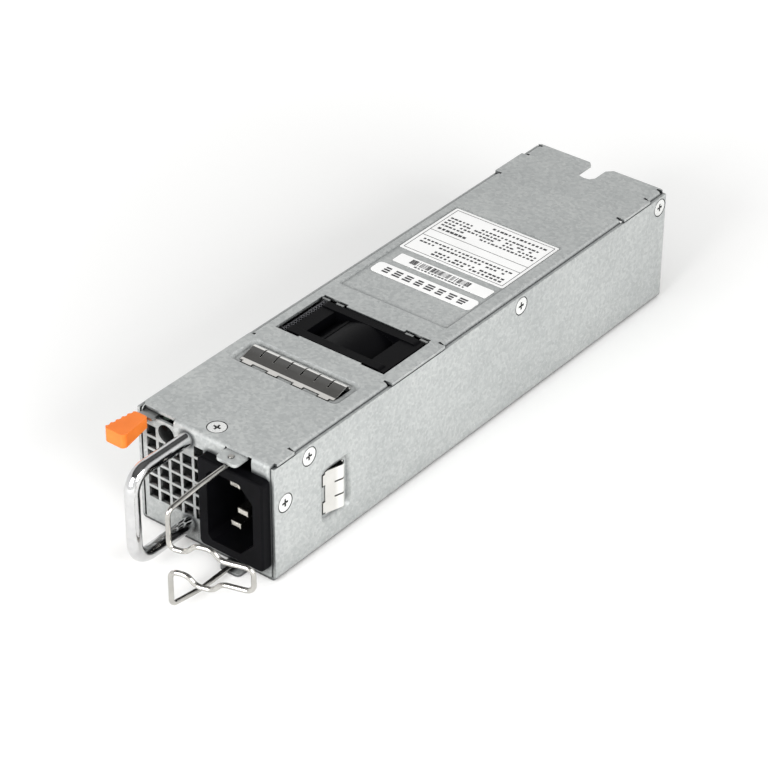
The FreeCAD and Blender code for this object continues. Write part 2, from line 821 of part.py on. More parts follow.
def flange(name, side, start, stop):
    """An angle along the cover's edge: it turns down inside the side wall."""
    bend = "(bendOuter + 0.6)"
    if side > 0:
        across = (f"{FLANGE_OUT} - {bend}", FLANGE_OUT)
        hollow = (f"{FLANGE_OUT} - {bend} - 1", FLANGE_IN)
    else:
        across = (f"0 - {FLANGE_OUT}", f"{bend} - {FLANGE_OUT}")
        hollow = (f"0 - {FLANGE_IN}", f"{bend} + 1 - {FLANGE_OUT}")
    blank = box(name + "_blank", across, (start, stop), ("caseHeight - flangeDrop", "caseHeight"))
    edge_x = side * (size("caseWidth") / 2 - size("wall") - size("seam"))
    top = size("caseHeight")
    soft = rounded(name + "_bend", blank, size("bendOuter"),
                   lambda a, b: near(a.z, top) and near(b.z, top) and near(a.x, edge_x) and near(b.x, edge_x))
    inside = box(name + "_inside", hollow, (f"{start} - 1", f"{stop} + 1"),
                 ("caseHeight - flangeDrop - 1", COVER_UNDER))
    return cut(name, soft, [inside])


REAR_FLANGE = ("caseLength - rearFlangeInset - rearFlangeLength", "caseLength - rearFlangeInset")
FLANGES = (
    ("right_front", 1, "rightFrontStart", "rightFrontEnd"),
    ("right_rear", 1, "rightRearStart", "sideFlangeEnd"),
    ("right_end", 1) + REAR_FLANGE,
    ("left_side", -1, "leftStart", "sideFlangeEnd"),
    ("left_end", -1) + REAR_FLANGE,
)


def make_cover():
    """Top plate bent down at the front into the panel, with side flanges and the upper ear."""
    panel_left = f"(panelGap - {INNER})"
    side = f"({HALF} - coverInset)"
    latch_side = f"(latchSideInset - {HALF})"
    block = box("cover_front_block", (panel_left, FLANGE_OUT), ("0", "frontFlangeDepth"),
                ("wall + seam", "caseHeight"))
    top, out = size("caseHeight"), size("caseWidth") / 2 - size("wall") - size("seam")
    bent = rounded("cover_bends", block, size("bendOuter"), lambda a, b: near(a.y, 0) and near(b.y, 0) and (
        near(a.z, top) or near(a.x, out)))
    behind = (PANEL_BACK, "frontFlangeDepth + 1")
    hollow = box("cover_front_hollow", (f"{panel_left} - 1", FLANGE_IN), behind, ("0", COVER_UNDER))
    over = ("bendOuter", "frontFlangeDepth + 1")
    foot = box("panel_flange_foot", (f"{FLANGE_IN} - 1", HALF), over, ("0", "wall + flangeEndGap"))
    head = box("panel_flange_head", (f"{FLANGE_IN} - 1", HALF), over,
               (f"{COVER_UNDER} - 2 * flangeEndGap", COVER_UNDER))
    front = cut("cover_front", bent, [hollow, foot, head])
    plate = body("cover_plate_body")
    plan = sketch(plate, "cover_plan", "XY_Plane", COVER_UNDER)
    polygon(plan, [
        (panel_left, "bendOuter"), (FLANGE_OUT, "bendOuter"), (FLANGE_OUT, "cornerRelief"),
        (side, "cornerRelief"),
        (side, "caseLength - coverCorner"), (f"{side} - coverCorner", "caseLength"),
        (f"coverCorner - {side}", "caseLength"), (f"0 - {side}", "caseLength - coverCorner"),
        (f"0 - {side}", "leftStart - reliefGap"), (latch_side, "leftStart - reliefGap"),
        (latch_side, "latchCornerCut"),
    ])
    pad(plate, "cover_plate", plan, "coverGauge")
    blank = fuse("cover_blank", [front, plate])
    doc.recompute()
    owner = body("cover_sheet")
    owner.BaseFeature = blank
    doc.recompute()
    owner.Tip = owner.Group[0]

    # grille: a grid of square holes, left open where the light and the handle stand
    for column in range(5):
        lines = {0: range(0, 6), 1: range(1, 6), 2: range(1, 6), 3: range(1, 6), 4: range(0, 6)}[column]
        first, count = lines[0], len(lines)
        holes = sketch(owner, f"grille_sketch_{column}", "XZ_Plane", "0")
        left = f"(grilleLeft - caseWidth / 2 + {column} * grillePitchAcross)"
        high = f"(grilleTop - {first} * grillePitchDown)"
        rectangle(holes, (left, f"{left} + grilleHole"), (f"{high} - grilleHole", high))
        hole = pocket(owner, f"grille_hole_{column}", holes, "4 * coverGauge", middle=True)
        repeat(owner, f"grille_column_{column}", [hole], "Z_Axis", "grillePitchDown", str(count),
               reverse=True)

    # round holes in the panel: the light and the two handle screws
    rounds = sketch(owner, "panel_rounds", "XZ_Plane", "0")
    circle(rounds, LIGHT_X, "lightHeight", "lightSize + 2 * fitGap")
    for height in ("handleTop", "handleBottom"):
        circle(rounds, "handleX", height, "handleScrew + 2 * fitGap")
    pocket(owner, "panel_round_holes", rounds, "4 * coverGauge", middle=True)

    # opening for the inlet, running up behind the ear that is turned out of it
    inlet = sketch(owner, "inlet_opening", "XZ_Plane", "0")
    half_wide = "(socketWidth / 2 + socketWall + 0.2)"
    half_tall = "(socketHeight / 2 + socketWall + 0.2)"
    left_ear = "(inletX - earWidth / 2)"
    right_ear = "(inletX + earWidth / 2)"
    polygon(inlet, [
        (f"inletX - {half_wide}", f"inletHeight - {half_tall}"),
        (f"inletX + {half_wide}", f"inletHeight - {half_tall}"),
        (f"inletX + {half_wide}", f"inletHeight + {half_tall}"),
        (f"{right_ear} + earReliefRight", f"inletHeight + {half_tall}"),
        (f"{right_ear} + earReliefRight", "caseHeight - earReliefTop"),
        (right_ear, "caseHeight - earReliefTop"),
        (right_ear, EAR_UNDER), (left_ear, EAR_UNDER), (left_ear, "caseHeight - earReliefTop"),
        (f"{left_ear} - earReliefLeft", "caseHeight - earReliefTop"),
        (f"{left_ear} - earReliefLeft", f"inletHeight + {half_tall}"),
        (f"inletX - {half_wide}", f"inletHeight + {half_tall}"),
    ])
    pocket(owner, "inlet_window", inlet, "4 * coverGauge", middle=True)

    # slot in the bend for the latch lever
    slot = sketch(owner, "latch_slot", "XZ_Plane", "0")
    slot_left = f"(panelGap + 0.4 - {INNER})"
    rectangle(slot, (slot_left, f"{slot_left} + latchSlotWidth"), (f"{LATCH_LOW} - 0.15", "caseHeight + 1"))
    pocket(owner, "latch_slot_cut", slot, "2 * (coverGauge + 0.2)", middle=True)

    # the notch in the rear edge and the fan's window with its clip notches
    notch = sketch(owner, "rear_notch", "XY_Plane", COVER_UNDER)
    half_notch = "(notchWidth / 2)"
    polygon(notch, [
        (f"0 - {half_notch} - 1.2", "caseLength + 1"), (f"0 - {half_notch} - 1.2", "caseLength"),
        (f"0 - {half_notch}", "caseLength - 1.2"), (f"0 - {half_notch}", "caseLength - notchDepth + 2"),
        (f"1.2 - {half_notch}", "caseLength - notchDepth + 0.4"), ("0", "caseLength - notchDepth"),
        (f"{half_notch} - 1.2", "caseLength - notchDepth + 0.4"), (half_notch, "caseLength - notchDepth + 2"),
        (half_notch, "caseLength - 2"), (f"{half_notch} + 2", "caseLength"),
        (f"{half_notch} + 2", "caseLength + 1"),
    ])
    pocket(owner, "rear_notch_cut", notch, "4 * coverGauge", middle=True)
    window = sketch(owner, "fan_window", "XY_Plane", COVER_UNDER)
    edge, step = "(fanWindowWidth / 2)", "fanWindowStepAt"
    deep, deeper = "(fanFront - fanWindowGap)", "(fanFront - fanWindowGap - fanWindowStep)"
    polygon(window, [
        (f"0 - {edge}", deeper), (f"0 - {step}", deeper), (f"0 - {step}", deep),
        (step, deep), (step, deeper), (edge, deeper),
        (edge, f"{FAN_BACK} + fanWindowGap"), (f"0 - {edge}", f"{FAN_BACK} + fanWindowGap"),
    ])
    pocket(owner, "fan_window_cut", window, "4 * coverGauge", middle=True)
    clips = sketch(owner, "clip_notches", "XY_Plane", COVER_UNDER)
    for side in (-1, 1):
        near_edge = f"({side} * (fanWindowWidth / 2 - clipNotchInset))"
        far_edge = f"({side} * (fanWindowWidth / 2 - clipNotchInset - clipNotchWide))"
        low, high = (near_edge, far_edge) if side < 0 else (far_edge, near_edge)
        rectangle(clips, (low, high), (f"{FAN_BACK} + fitGap", f"{FAN_BACK} + fanWindowGap + fanClip"))
    pocket(owner, "clip_notch_cut", clips, "4 * coverGauge", middle=True)
    doc.recompute()

    # seats and flanges
    top_back, top_seat = dish("top_dish", "Z", "caseHeight", ["seatShift", "topDishCentre"],
                              ["topDishWidth", "topDishLength"], "dishDepth", "dishSlope", "coverGauge",
                              "dishCorner")
    label_back, label_seat = dish("label_dish", "Z", "caseHeight", ["seatShift", "labelDishCentre"],
                                  ["labelDishWidth", "labelDishLength"], "labelDishDepth", "labelDishDepth",
                                  "coverGauge", "labelDishCorner")
    strips = []
    for name, side, start, stop in FLANGES:
        outward = f"({HALF} + 1)"
        inward = f"({FLANGE_OUT} - bendOuter - 0.3)"
        across = (inward, outward) if side > 0 else (f"0 - {outward}", f"0 - {inward}")
        strips.append(box(name + "_gap", across, (f"{start} - reliefGap", f"{stop} + reliefGap"),
                          (f"{COVER_UNDER} - 0.5", "caseHeight + 1")))
    trimmed = cut("cover_trimmed", owner, strips)
    parts = [trimmed, top_back, label_back, ear("upper_ear", EAR_UNDER, "earTop")]
    parts += [flange(name + "_flange", side, start, stop) for name, side, start, stop in FLANGES]
    whole = fuse("cover_whole", parts)

    tools = [top_seat, label_seat, ear_hole("upper_ear_hole", f"{EAR_UNDER} - 1", "earTop + 1")]
    tools += countersunk("cover_top", "Z", 1, ["screwTopX", "screwTopY"], "caseHeight", "coverGauge")
    for i, y in enumerate(RIGHT_SCREWS):
        tools.append(cylinder(f"cover_right_hole{i}", "X", [y, SCREW_Z], (f"{FLANGE_IN} - 1", HALF),
                              "screwShank + 2 * fitGap"))
    for i, y in enumerate(LEFT_SCREWS):
        tools.append(cylinder(f"cover_left_hole{i}", "X", [y, SCREW_Z], (f"0 - {HALF}", f"1 - {FLANGE_IN}"),
                              "screwShank + 2 * fitGap"))
    tools.append(cylinder("panel_flange_hole", "X", ["screwLowY", "screwLowZ"], (f"{FLANGE_IN} - 1", HALF),
                          "screwShank + 2 * fitGap"))
    tools += strip_windows("top_strip", "topDishCentre", ("seatShift", "topFingers * fingerPitch"),
                           (f"{DISH_FLOOR} - coverGauge - 1", "caseHeight + 1"), "topClips", along_x=True)
    return cut("top_cover", whole, tools)


def make_case_screws():
    """Countersunk cross-recess screws: those through the side walls and the two at the front."""
    sides = []
    for i, y in enumerate(RIGHT_SCREWS):
        sides.append(case_screw(f"right_screw{i}", "X", 1, [y, SCREW_Z], HALF, "wall"))
    for i, y in enumerate(LEFT_SCREWS):
        sides.append(case_screw(f"left_screw{i}", "X", -1, [y, SCREW_Z], f"(0 - {HALF})", "wall"))
    low = case_screw("low_screw", "X", 1, ["screwLowY", "screwLowZ"], HALF, "wall")
    top = case_screw("top_screw", "Z", 1, ["screwTopX", "screwTopY"], "caseHeight", "coverGauge")
    return group("side_screws", sides), group("front_screws", [low, top])


# ---------------------------------------------------------------------------------------------
# Handle
# ---------------------------------------------------------------------------------------------
BRACKET_BACK = "(coverGauge + bracketGauge)"


def make_handle_bracket():
    """Plate behind the panel that the handle is screwed to, with a tab under the top screw."""
    owner = body("bracket_sheet")
    outline = sketch(owner, "bracket_outline", "XZ_Plane", f"0 - {PANEL_BACK}")
    ear_top = "(handleTop - bracketEarBelow)"
    ear_low = "(handleBottom + bracketEarAbove)"
    polygon(outline, [
        ("bracketLeft", ear_top), ("bracketLeft", WALL_TOP), ("bracketRight", WALL_TOP),
        ("bracketRight", "bracketFoot"), ("bracketLeft", "bracketFoot"), ("bracketLeft", ear_low),
        ("bracketWeb", ear_low), ("bracketWeb", ear_top),
    ])
    for height in ("handleTop", "handleBottom"):
        circle(outline, "handleX", height, "handleScrew + 2 * fitGap")
    pad(owner, "bracket_plate", outline, "bracketGauge", reverse=True)
    tab = sketch(owner, "bracket_tab_outline", "XY_Plane", f"({WALL_TOP} - bracketGauge)")
    rectangle(tab, ("screwTopX - bracketTabHalf", "screwTopX + bracketTabHalf"),
              (PANEL_BACK, "bracketTabDepth"))
    circle(tab, "screwTopX", "screwTopY", "screwShank + 2 * fitGap")
    pad(owner, "bracket_tab", tab, "bracketGauge")
    return owner


def make_handle():
    """Round bar bent into a bow, tapped at both ends."""
    x, out, bend = size("handleX"), -size("handleReach"), size("handleBend")
    high, low = size("handleTop"), size("handleBottom")
    path = bent_path("handle_path", [vec(x, 0, high), vec(x, out, high), vec(x, out, low), vec(x, 0, low)],
                     [bend, bend])
    rod = swept_rod("handle_rod", path, vec(x, 0, high), vec(0, -1, 0), "handleRod")
    taps = [cylinder(f"handle_tap{i}", "Y", ["handleX", z], ("0 - handleTapDepth", "1"),
                     "handleScrew + 2 * fitGap")
            for i, z in enumerate(("handleTop", "handleBottom"))]
    return cut("handle", rod, taps)


def make_handle_screws():
    """Two pan-head screws put in from behind the bracket."""
    screws = []
    for i, z in enumerate(("handleTop", "handleBottom")):
        centre = ["handleX", z]
        shank = cylinder(f"handle_screw_shank{i}", "Y", centre, ("1 - handleTapDepth", BRACKET_BACK),
                         "handleScrew")
        head = cylinder(f"handle_screw_head{i}", "Y", centre, (BRACKET_BACK, f"{BRACKET_BACK} + panHead"),
                        "handleScrewHead")
        drive = box(f"handle_screw_drive{i}", ("handleX - crossSpan / 2", "handleX + crossSpan / 2"),
                    (f"{BRACKET_BACK} + panHead / 2", f"{BRACKET_BACK} + panHead + 1"),
                    (f"{z} - crossWidth / 2", f"{z} + crossWidth / 2"))
        screws.append(cut(f"handle_screw{i}", fuse(f"handle_screw_blank{i}", [shank, head]), [drive]))
    return group("handle_screws", screws)


# ---------------------------------------------------------------------------------------------
# Power inlet, status light
# ---------------------------------------------------------------------------------------------
SHELL_BACK = "(socketDepth - inletProud + socketFloor)"
SHELL_WIDE = "(socketWidth / 2 + socketWall)"
SHELL_TALL = "(socketHeight / 2 + socketWall)"


def make_inlet_housing():
    """Moulded socket with a front flange; its two chamfered corners face right."""
    owner = body("inlet_moulding")
    front = sketch(owner, "inlet_flange_outline", "XZ_Plane", "inletProud")
    rectangle(front, ("inletX - inletFlangeWidth / 2", "inletX + inletFlangeWidth / 2"),
              ("inletHeight - inletFlangeHeight / 2", "inletHeight + inletFlangeHeight / 2"))
    pad(owner, "inlet_flange", front, "inletProud", reverse=True)
    doc.recompute()
    rim = owner.Tip
    bounds = rim.Shape.BoundBox
    corners = [f"Edge{i}" for i, edge in enumerate(rim.Shape.Edges, start=1)
               if near(edge.BoundBox.YLength, bounds.YLength)]
    soft = owner.newObject("PartDesign::Fillet", "inlet_flange_corners")
    soft.Base = (rim, corners)
    bind(soft, "Radius", "inletCorner")
    owner.Tip = soft
    doc.recompute()
    edges = [f"Edge{i}" for i, edge in enumerate(soft.Shape.Edges, start=1)
             if near(edge.BoundBox.YMax, bounds.YMin)]
    lip = owner.newObject("PartDesign::Fillet", "inlet_flange_lip")
    lip.Base = (soft, edges)
    bind(lip, "Radius", "inletLip")
    owner.Tip = lip
    shell = sketch(owner, "inlet_shell_outline", "XZ_Plane", "0")
    rectangle(shell, (f"inletX - {SHELL_WIDE}", f"inletX + {SHELL_WIDE}"),
              (f"inletHeight - {SHELL_TALL}", f"inletHeight + {SHELL_TALL}"))
    pad(owner, "inlet_shell", shell, SHELL_BACK, reverse=True)
    mouth = sketch(owner, "inlet_mouth", "XZ_Plane", "inletProud")
    left, right = "(inletX - socketWidth / 2)", "(inletX + socketWidth / 2)"
    low, high = "(inletHeight - socketHeight / 2)", "(inletHeight + socketHeight / 2)"
    polygon(mouth, [
        (f"{left} + socketEase", low), (f"{right} - socketChamfer", low), (right, f"{low} + socketChamfer"),
        (right, f"{high} - socketChamfer"), (f"{right} - socketChamfer", high),
        (f"{left} + socketEase", high),
        (left, f"{high} - socketEase"), (left, f"{low} + socketEase"),
    ])
    pocket(owner, "inlet_cavity", mouth, "socketDepth")
    slots = sketch(owner, "blade_slots", "XZ_Plane", "0")
    for offset, rise, _ in BLADES:
        wide, thick = "(bladeWide / 2 + fitGap)", "(bladeThick / 2 + fitGap)"
        rectangle(slots, (f"inletX + {offset} - {wide}", f"inletX + {offset} + {wide}"),
                  (f"inletHeight + {rise} - {thick}", f"inletHeight + {rise} + {thick}"))
    pocket(owner, "blade_slot_cut", slots, "4 * socketDepth", middle=True)
    lugs = [owner]
    for i, middle in enumerate(("(inletX - lugOffset)", "(inletX + lugOffset)")):
        across = (f"{middle} - lugWidth / 2", f"{middle} + lugWidth / 2")
        for end, sign in (("low", -1), ("high", 1)):
            heights = [f"(inletHeight + ({sign}) * ({SHELL_TALL} + {reach}))"
                       for reach in ("(0 - fitGap)", "lugReach")]
            lugs.append(box(f"inlet_lug_{end}{i}", across, (PANEL_BACK, f"{PANEL_BACK} + lugLength"),
                            heights[::sign]))
    return fuse("inlet_housing", lugs)


# across and up from the inlet's middle, and how much further forward the tip reaches
BLADES = (
    ("(0 - bladeOffset)", "bladeSpacing", "0"),
    ("(0 - bladeOffset)", "(0 - bladeSpacing)", "0"),
    ("bladeOffset", "0", "earthLonger"),
)


def make_blade(name, offset, rise, longer):
    """A flat pin with a rounded tip, a stop shoulder behind the socket floor and a solder tail."""
    tip = f"(bladeTipInset - inletProud - {longer})"
    wide = (f"inletX + {offset} - bladeWide / 2", f"inletX + {offset} + bladeWide / 2")
    thick = (f"inletHeight + {rise} - bladeThick / 2", f"inletHeight + {rise} + bladeThick / 2")
    blank = box(name + "_blank", wide, (tip, f"{SHELL_BACK} + bladeTail"), thick)
    halfway = size("socketDepth") / 2
    soft = rounded(name + "_tip", blank, size("bladeEase"), lambda a, b: near(a.y, b.y) and a.y < halfway)
    stop = box(name + "_stop", (wide[0] + " - bladeStop", wide[1] + " + bladeStop"),
               (SHELL_BACK, f"{SHELL_BACK} + bladeStop"),
               (thick[0] + " - bladeStop", thick[1] + " + bladeStop"))
    return fuse(name, [soft, stop])


def make_blades():
    pair = [make_blade(f"power_blade{i}", *place) for i, place in enumerate(BLADES[:2])]
    return group("power_blades", pair), group("earth_blade", [make_blade("earth_pin", *BLADES[2])])


def make_status_light():
    """Domed lens with a collar against the back of the panel, and the small board it stands on."""
    centre = [LIGHT_X, "lightHeight"]
    ball_radius = "((lightSize * lightSize / 4 + lightProud * lightProud) / (2 * lightProud))"
    ball = doc.addObject("Part::Sphere", "light_ball")
    bind(ball, "Radius", ball_radius)
    for letter, text in zip("xyz", (LIGHT_X, f"{ball_radius} - lightProud", "lightHeight")):
        bind(ball, f"Placement.Base.{letter}", text)
    stem = cylinder("light_stem", "Y", centre, ("0 - 2 * lightProud", "lightDepth"), "lightSize")
    dome = doc.addObject("Part::MultiCommon", "light_dome")
    dome.Shapes = [ball, stem]
    collar = cylinder("light_collar", "Y", centre, (PANEL_BACK, "2 * coverGauge"),
                      "lightSize + 2 * lightCollar")
    lens = fuse("status_light", [dome, collar])
    board = box("light_board_plate", (f"{LIGHT_X} - lightBoardHalf", f"{LIGHT_X} + lightBoardHalf"),
                ("lightDepth", "lightDepth + lightBoard"),
                ("lightHeight - lightBoardHalf", "lightHeight + lightBoardRise"))
    return lens, group("light_board", [board])


# ---------------------------------------------------------------------------------------------
# Cord retaining bail
# ---------------------------------------------------------------------------------------------
def make_bail():
    """One bent wire: two arms hinged in the ears, and a loop turned to the right for the cord."""
    x, y = size("inletX"), -size("bailFromPanel")
    outward = math.radians(size("bailTurnedOut"))
    forward = vec(math.sin(outward), -math.cos(outward), 0)
    turn = math.radians(size("bailLoopTurn"))
    aside = vec(math.cos(turn), math.sin(turn), 0)
    pivot = vec(x, y, 0)
    front = pivot + forward * size("bailArm")
    wire = size("bailWire")
    top_arm = size("earTop") - size("coverGauge") - wire / 2 - size("bailEarGap")
    low_arm = size("wall") + wire / 2 + size("bailEarGap")
    middle, half, bulge = size("bailLoopMiddle"), size("bailLoopHalf"), size("bailBulgeHalf")
    at, flat, slope = size("bailBulgeAt"), size("bailBulgeFlat"), size("bailBulgeSlope")

    def level(point, height):
        return vec(point.x, point.y, height)

    profile = [(0, half), (at - flat - slope, half), (at - flat, bulge), (at + flat, bulge),
               (at + flat + slope, half), (size("bailLoopLength"), half)]
    upper = [front + aside * s + vec(0, 0, middle + rise) for s, rise in profile]
    lower = [front + aside * s + vec(0, 0, middle - rise) for s, rise in reversed(profile)]
    knee = pivot + forward * size("bailArmFlat")
    points = [level(pivot, size("earTop") + size("bailEnd")), level(pivot, top_arm), level(knee, top_arm),
              level(front, size("bailTopEnd"))]
    points += upper + lower
    points += [level(front, size("bailBottomEnd")), level(knee, low_arm), level(pivot, low_arm),
               level(pivot, size("bailClearance"))]
    half_radii = [size(alias) for alias in (
        ["bailPivotBend", "bailArmBend"] + ["bailCornerBend"] * 2 + ["bailWaveBend"] * 4 + ["bailLoopBend"])]
    path = bent_path("bail_path", points, half_radii + half_radii[::-1])
    wire_rod = swept_rod("bail_wire", path, points[0], vec(0, 0, -1), "bailWire", "bailSides")
    return group("retaining_bail", [wire_rod])


# ---------------------------------------------------------------------------------------------
# Side latch
# ---------------------------------------------------------------------------------------------
ARM_LEFT = f"(panelGap + 0.6 - {INNER})"
ARM_RIGHT = f"({ARM_LEFT} + latchArmWidth)"
TIP_LOW = f"({LATCH_LOW} - latchStep)"
TIP_RIGHT = f"({ARM_RIGHT} - latchTipInset)"
HOOK_LOW = f"({LATCH_LOW} - latchFlangeDrop)"
SHELF_TOP = f"({LATCH_LOW} - latchShelfGap)"
SHELF_LOW = f"({SHELF_TOP} - latchShelf)"


def make_latch():
    """Lever under the cover: pivot eye, arm through the panel's slot, stepped tip, and a flange
    turned down beside the left wall with a hook lanced out of it."""
    owner = body("latch_sheet")
    plan = sketch(owner, "latch_plan", "XY_Plane", LATCH_LOW)
    px, py = "latchPivotX", "latchPivotY"
    polygon(plan, [
        (ARM_LEFT, "0 - 2.5 * latchGauge"), (ARM_RIGHT, "0 - 2.5 * latchGauge"), (ARM_RIGHT, f"{py} - 14"),
        (f"{px} + latchEye", f"{py} - 4"), (f"{px} + latchEye", f"{py} + 2"),
        (f"{px} + 2", f"{py} + latchEye"),
        (f"{px} - 3", f"{py} + latchEye"), (ARM_LEFT, f"{py} - 2"), (ARM_LEFT, "hookFront + hookLength + 1"),
        (LATCH_LEFT, "hookFront + hookLength + 1"), (LATCH_LEFT, "hookFront - 2"),
        (ARM_LEFT, "hookFront - 2"),
    ])
    circle(plan, px, py, "latchPin + 2 * pivotGap")
    pad(owner, "latch_plate", plan, "latchGauge")
    drop = sketch(owner, "latch_flange_plan", "XY_Plane", HOOK_LOW)
    rectangle(drop, (LATCH_LEFT, f"{LATCH_LEFT} + latchGauge"),
              ("hookFront - 2", "hookFront + hookLength + 1"))
    pad(owner, "latch_flange", drop, "latchFlangeDrop + latchGauge")
    lance = sketch(owner, "latch_lance", "XY_Plane", HOOK_LOW)
    rectangle(lance, (f"{LATCH_LEFT} - 1", f"{LATCH_LEFT} + latchGauge + fitGap"),
              ("hookFront", "hookFront + hookLength - 0.4"))
    pocket(owner, "latch_lance_cut", lance, "hookHeight", reverse=True)
    hook = sketch(owner, "latch_hook_plan", "XY_Plane", HOOK_LOW)
    tip_x = f"(0 - {HALF} - hookReach)"
    polygon(hook, [
        (tip_x, "hookFront"), (f"{tip_x} + 1.1 * latchGauge", "hookFront"),
        (f"{LATCH_LEFT} + latchGauge", "hookFront + hookLength"),
        (LATCH_LEFT, "hookFront + hookLength + 0.2"),
    ])
    pad(owner, "latch_hook", hook, "hookHeight - 0.3")
    step = sketch(owner, "latch_step_plan", "XY_Plane", TIP_LOW)
    rectangle(step, (ARM_LEFT, TIP_RIGHT), ("0 - 2.5 * latchGauge", "0 - 1.5 * latchGauge"))
    pad(owner, "latch_step", step, "latchStep + latchGauge")
    tip = sketch(owner, "latch_tip_plan", "XY_Plane", TIP_LOW)
    rectangle(tip, (ARM_LEFT, TIP_RIGHT), ("0 - latchReach", "0 - 1.5 * latchGauge"))
    pad(owner, "latch_tip", tip, "latchGauge")
    return owner


def make_latch_cap():
    """Moulded finger piece pushed over the lever's tip: it widens forward and its outer side,
    which the thumb presses, is fluted."""
    front, back = "(latchReach + capWall)", "capBackGap"
    wedge = doc.addObject("Part::Wedge", "cap_wedge")
    wedge.Ymin = 0
    bind(wedge, "Ymax", f"{front} - {back}")
    bind(wedge, "Placement.Base.y", f"0 - {front}")
    for suffix, end in (("", "Front"), ("2", "Back")):
        left, top = f"(cap{end}Left - {HALF})", f"(caseHeight - cap{end}Top)"
        bind(wedge, f"X{suffix}min", left)
        bind(wedge, f"X{suffix}max", f"{left} + cap{end}Width")
        bind(wedge, f"Z{suffix}min", f"{top} - cap{end}Height")
        bind(wedge, f"Z{suffix}max", top)
    soft = rounded("cap_round", wedge, size("capRound"), along_z)
    tools = [box("cap_socket", (f"{ARM_LEFT} - fitGap", f"{TIP_RIGHT} + fitGap"),
                 ("0 - latchReach", f"1 - {back}"), (TIP_LOW, f"{TIP_LOW} + latchGauge"))]
    for i in range(int(size("capGrips"))):
        ahead = f"({front} - capRound - capGripPitch * ({i} + 0.2))"
        side = (f"(capFrontLeft + (capBackLeft - capFrontLeft) * ({front} - {ahead}) / ({front} - {back})"
                f" - {HALF})")
        tools.append(cylinder(f"cap_flute{i}", "Z", [f"{side} - capGrip / 2", f"0 - {ahead}"],
                              (f"{TIP_LOW} - capFrontHeight", "caseHeight + 1"), "2 * capGrip"))
    return cut("latch_cap", soft, tools)


def make_latch_bracket():
    """Angle riveted to the left wall; its shelf carries the pivot pin."""
    wall_in = f"(0 - {INNER})"
    ys = ("latchPivotY - latchShelfHalf", "latchPivotY + latchShelfHalf")
    leg = box("latch_bracket_leg", (wall_in, f"{wall_in} + latchShelf"), ys,
              (f"{SHELF_TOP} - latchLeg", SHELF_TOP))
    shelf = box("latch_bracket_shelf", (wall_in, "latchPivotX + latchEye"), ys, (SHELF_LOW, SHELF_TOP))
    tools = [cylinder("latch_shelf_hole", "Z", ["latchPivotX", "latchPivotY"],
                      (f"{SHELF_LOW} - 1", f"{SHELF_TOP} + 1"), "latchPin + 2 * fitGap")]
    for i, y in enumerate(RIVETS):
        tools.append(cylinder(f"bracket_rivet_hole{i}", "X", [y, RIVET_Z],
                              (f"{wall_in} - 1", f"{wall_in} + latchShelf + 1"), "rivet + 2 * fitGap"))
    return cut("latch_bracket", fuse("latch_bracket_blank", [leg, shelf]), tools)


RIVETS = ("(latchPivotY - rivetPitch / 2)", "(latchPivotY + rivetPitch / 2)")
RIVET_Z = f"({SHELF_TOP} - latchLeg + 2.4)"


def rivet_hole(name, y):
    """A shank hole through the left wall with a countersink flush with its outer face."""
    return [cone(name + "_sink", "X", [y, RIVET_Z], (f"0 - {HALF}", f"0 - {INNER} - 0.2"),
                 "rivetHead + 2 * fitGap", "rivet + 2 * fitGap"),
            cylinder(name + "_hole", "X", [y, RIVET_Z], (f"0 - {HALF} - 1", f"1 - {INNER}"),
                     "rivet + 2 * fitGap")]


def make_latch_rivets():
    rivets = []
    inner = f"(latchShelf - {INNER})"
    for i, y in enumerate(RIVETS):
        sunk = cone(f"rivet_sunk{i}", "X", [y, RIVET_Z], (f"0 - {HALF}", f"0 - {INNER} - 0.25"),
                    "rivetHead", "rivet")
        shank = cylinder(f"rivet_shank{i}", "X", [y, RIVET_Z], (f"0 - {HALF}", inner), "rivet")
        head = cylinder(f"rivet_head{i}", "X", [y, RIVET_Z], (inner, f"{inner} + 0.7"), "rivetHead")
        rivets.append(fuse(f"rivet{i}", [sunk, shank, head]))
    return group("latch_rivets", rivets)


def make_latch_pin():
    """Stepped pin: a collar on the shelf carries the lever, a foot below keeps the spring."""
    centre = ["latchPivotX", "latchPivotY"]
    below_shelf = f"({SHELF_LOW} - latchPinBelow)"
    stem = cylinder("latch_pin_stem", "Z", centre, (below_shelf, f"{COVER_UNDER} - 2 * fitGap"), "latchPin")
    collar = cylinder("latch_pin_collar", "Z", centre, (SHELF_TOP, f"{LATCH_LOW} - fitGap"), "latchPinCollar")
    foot = cylinder("latch_pin_foot", "Z", centre, (f"{below_shelf} - latchPinFoot", below_shelf),
                    "latchPinCollar")
    return fuse("latch_pin", [stem, collar, foot])


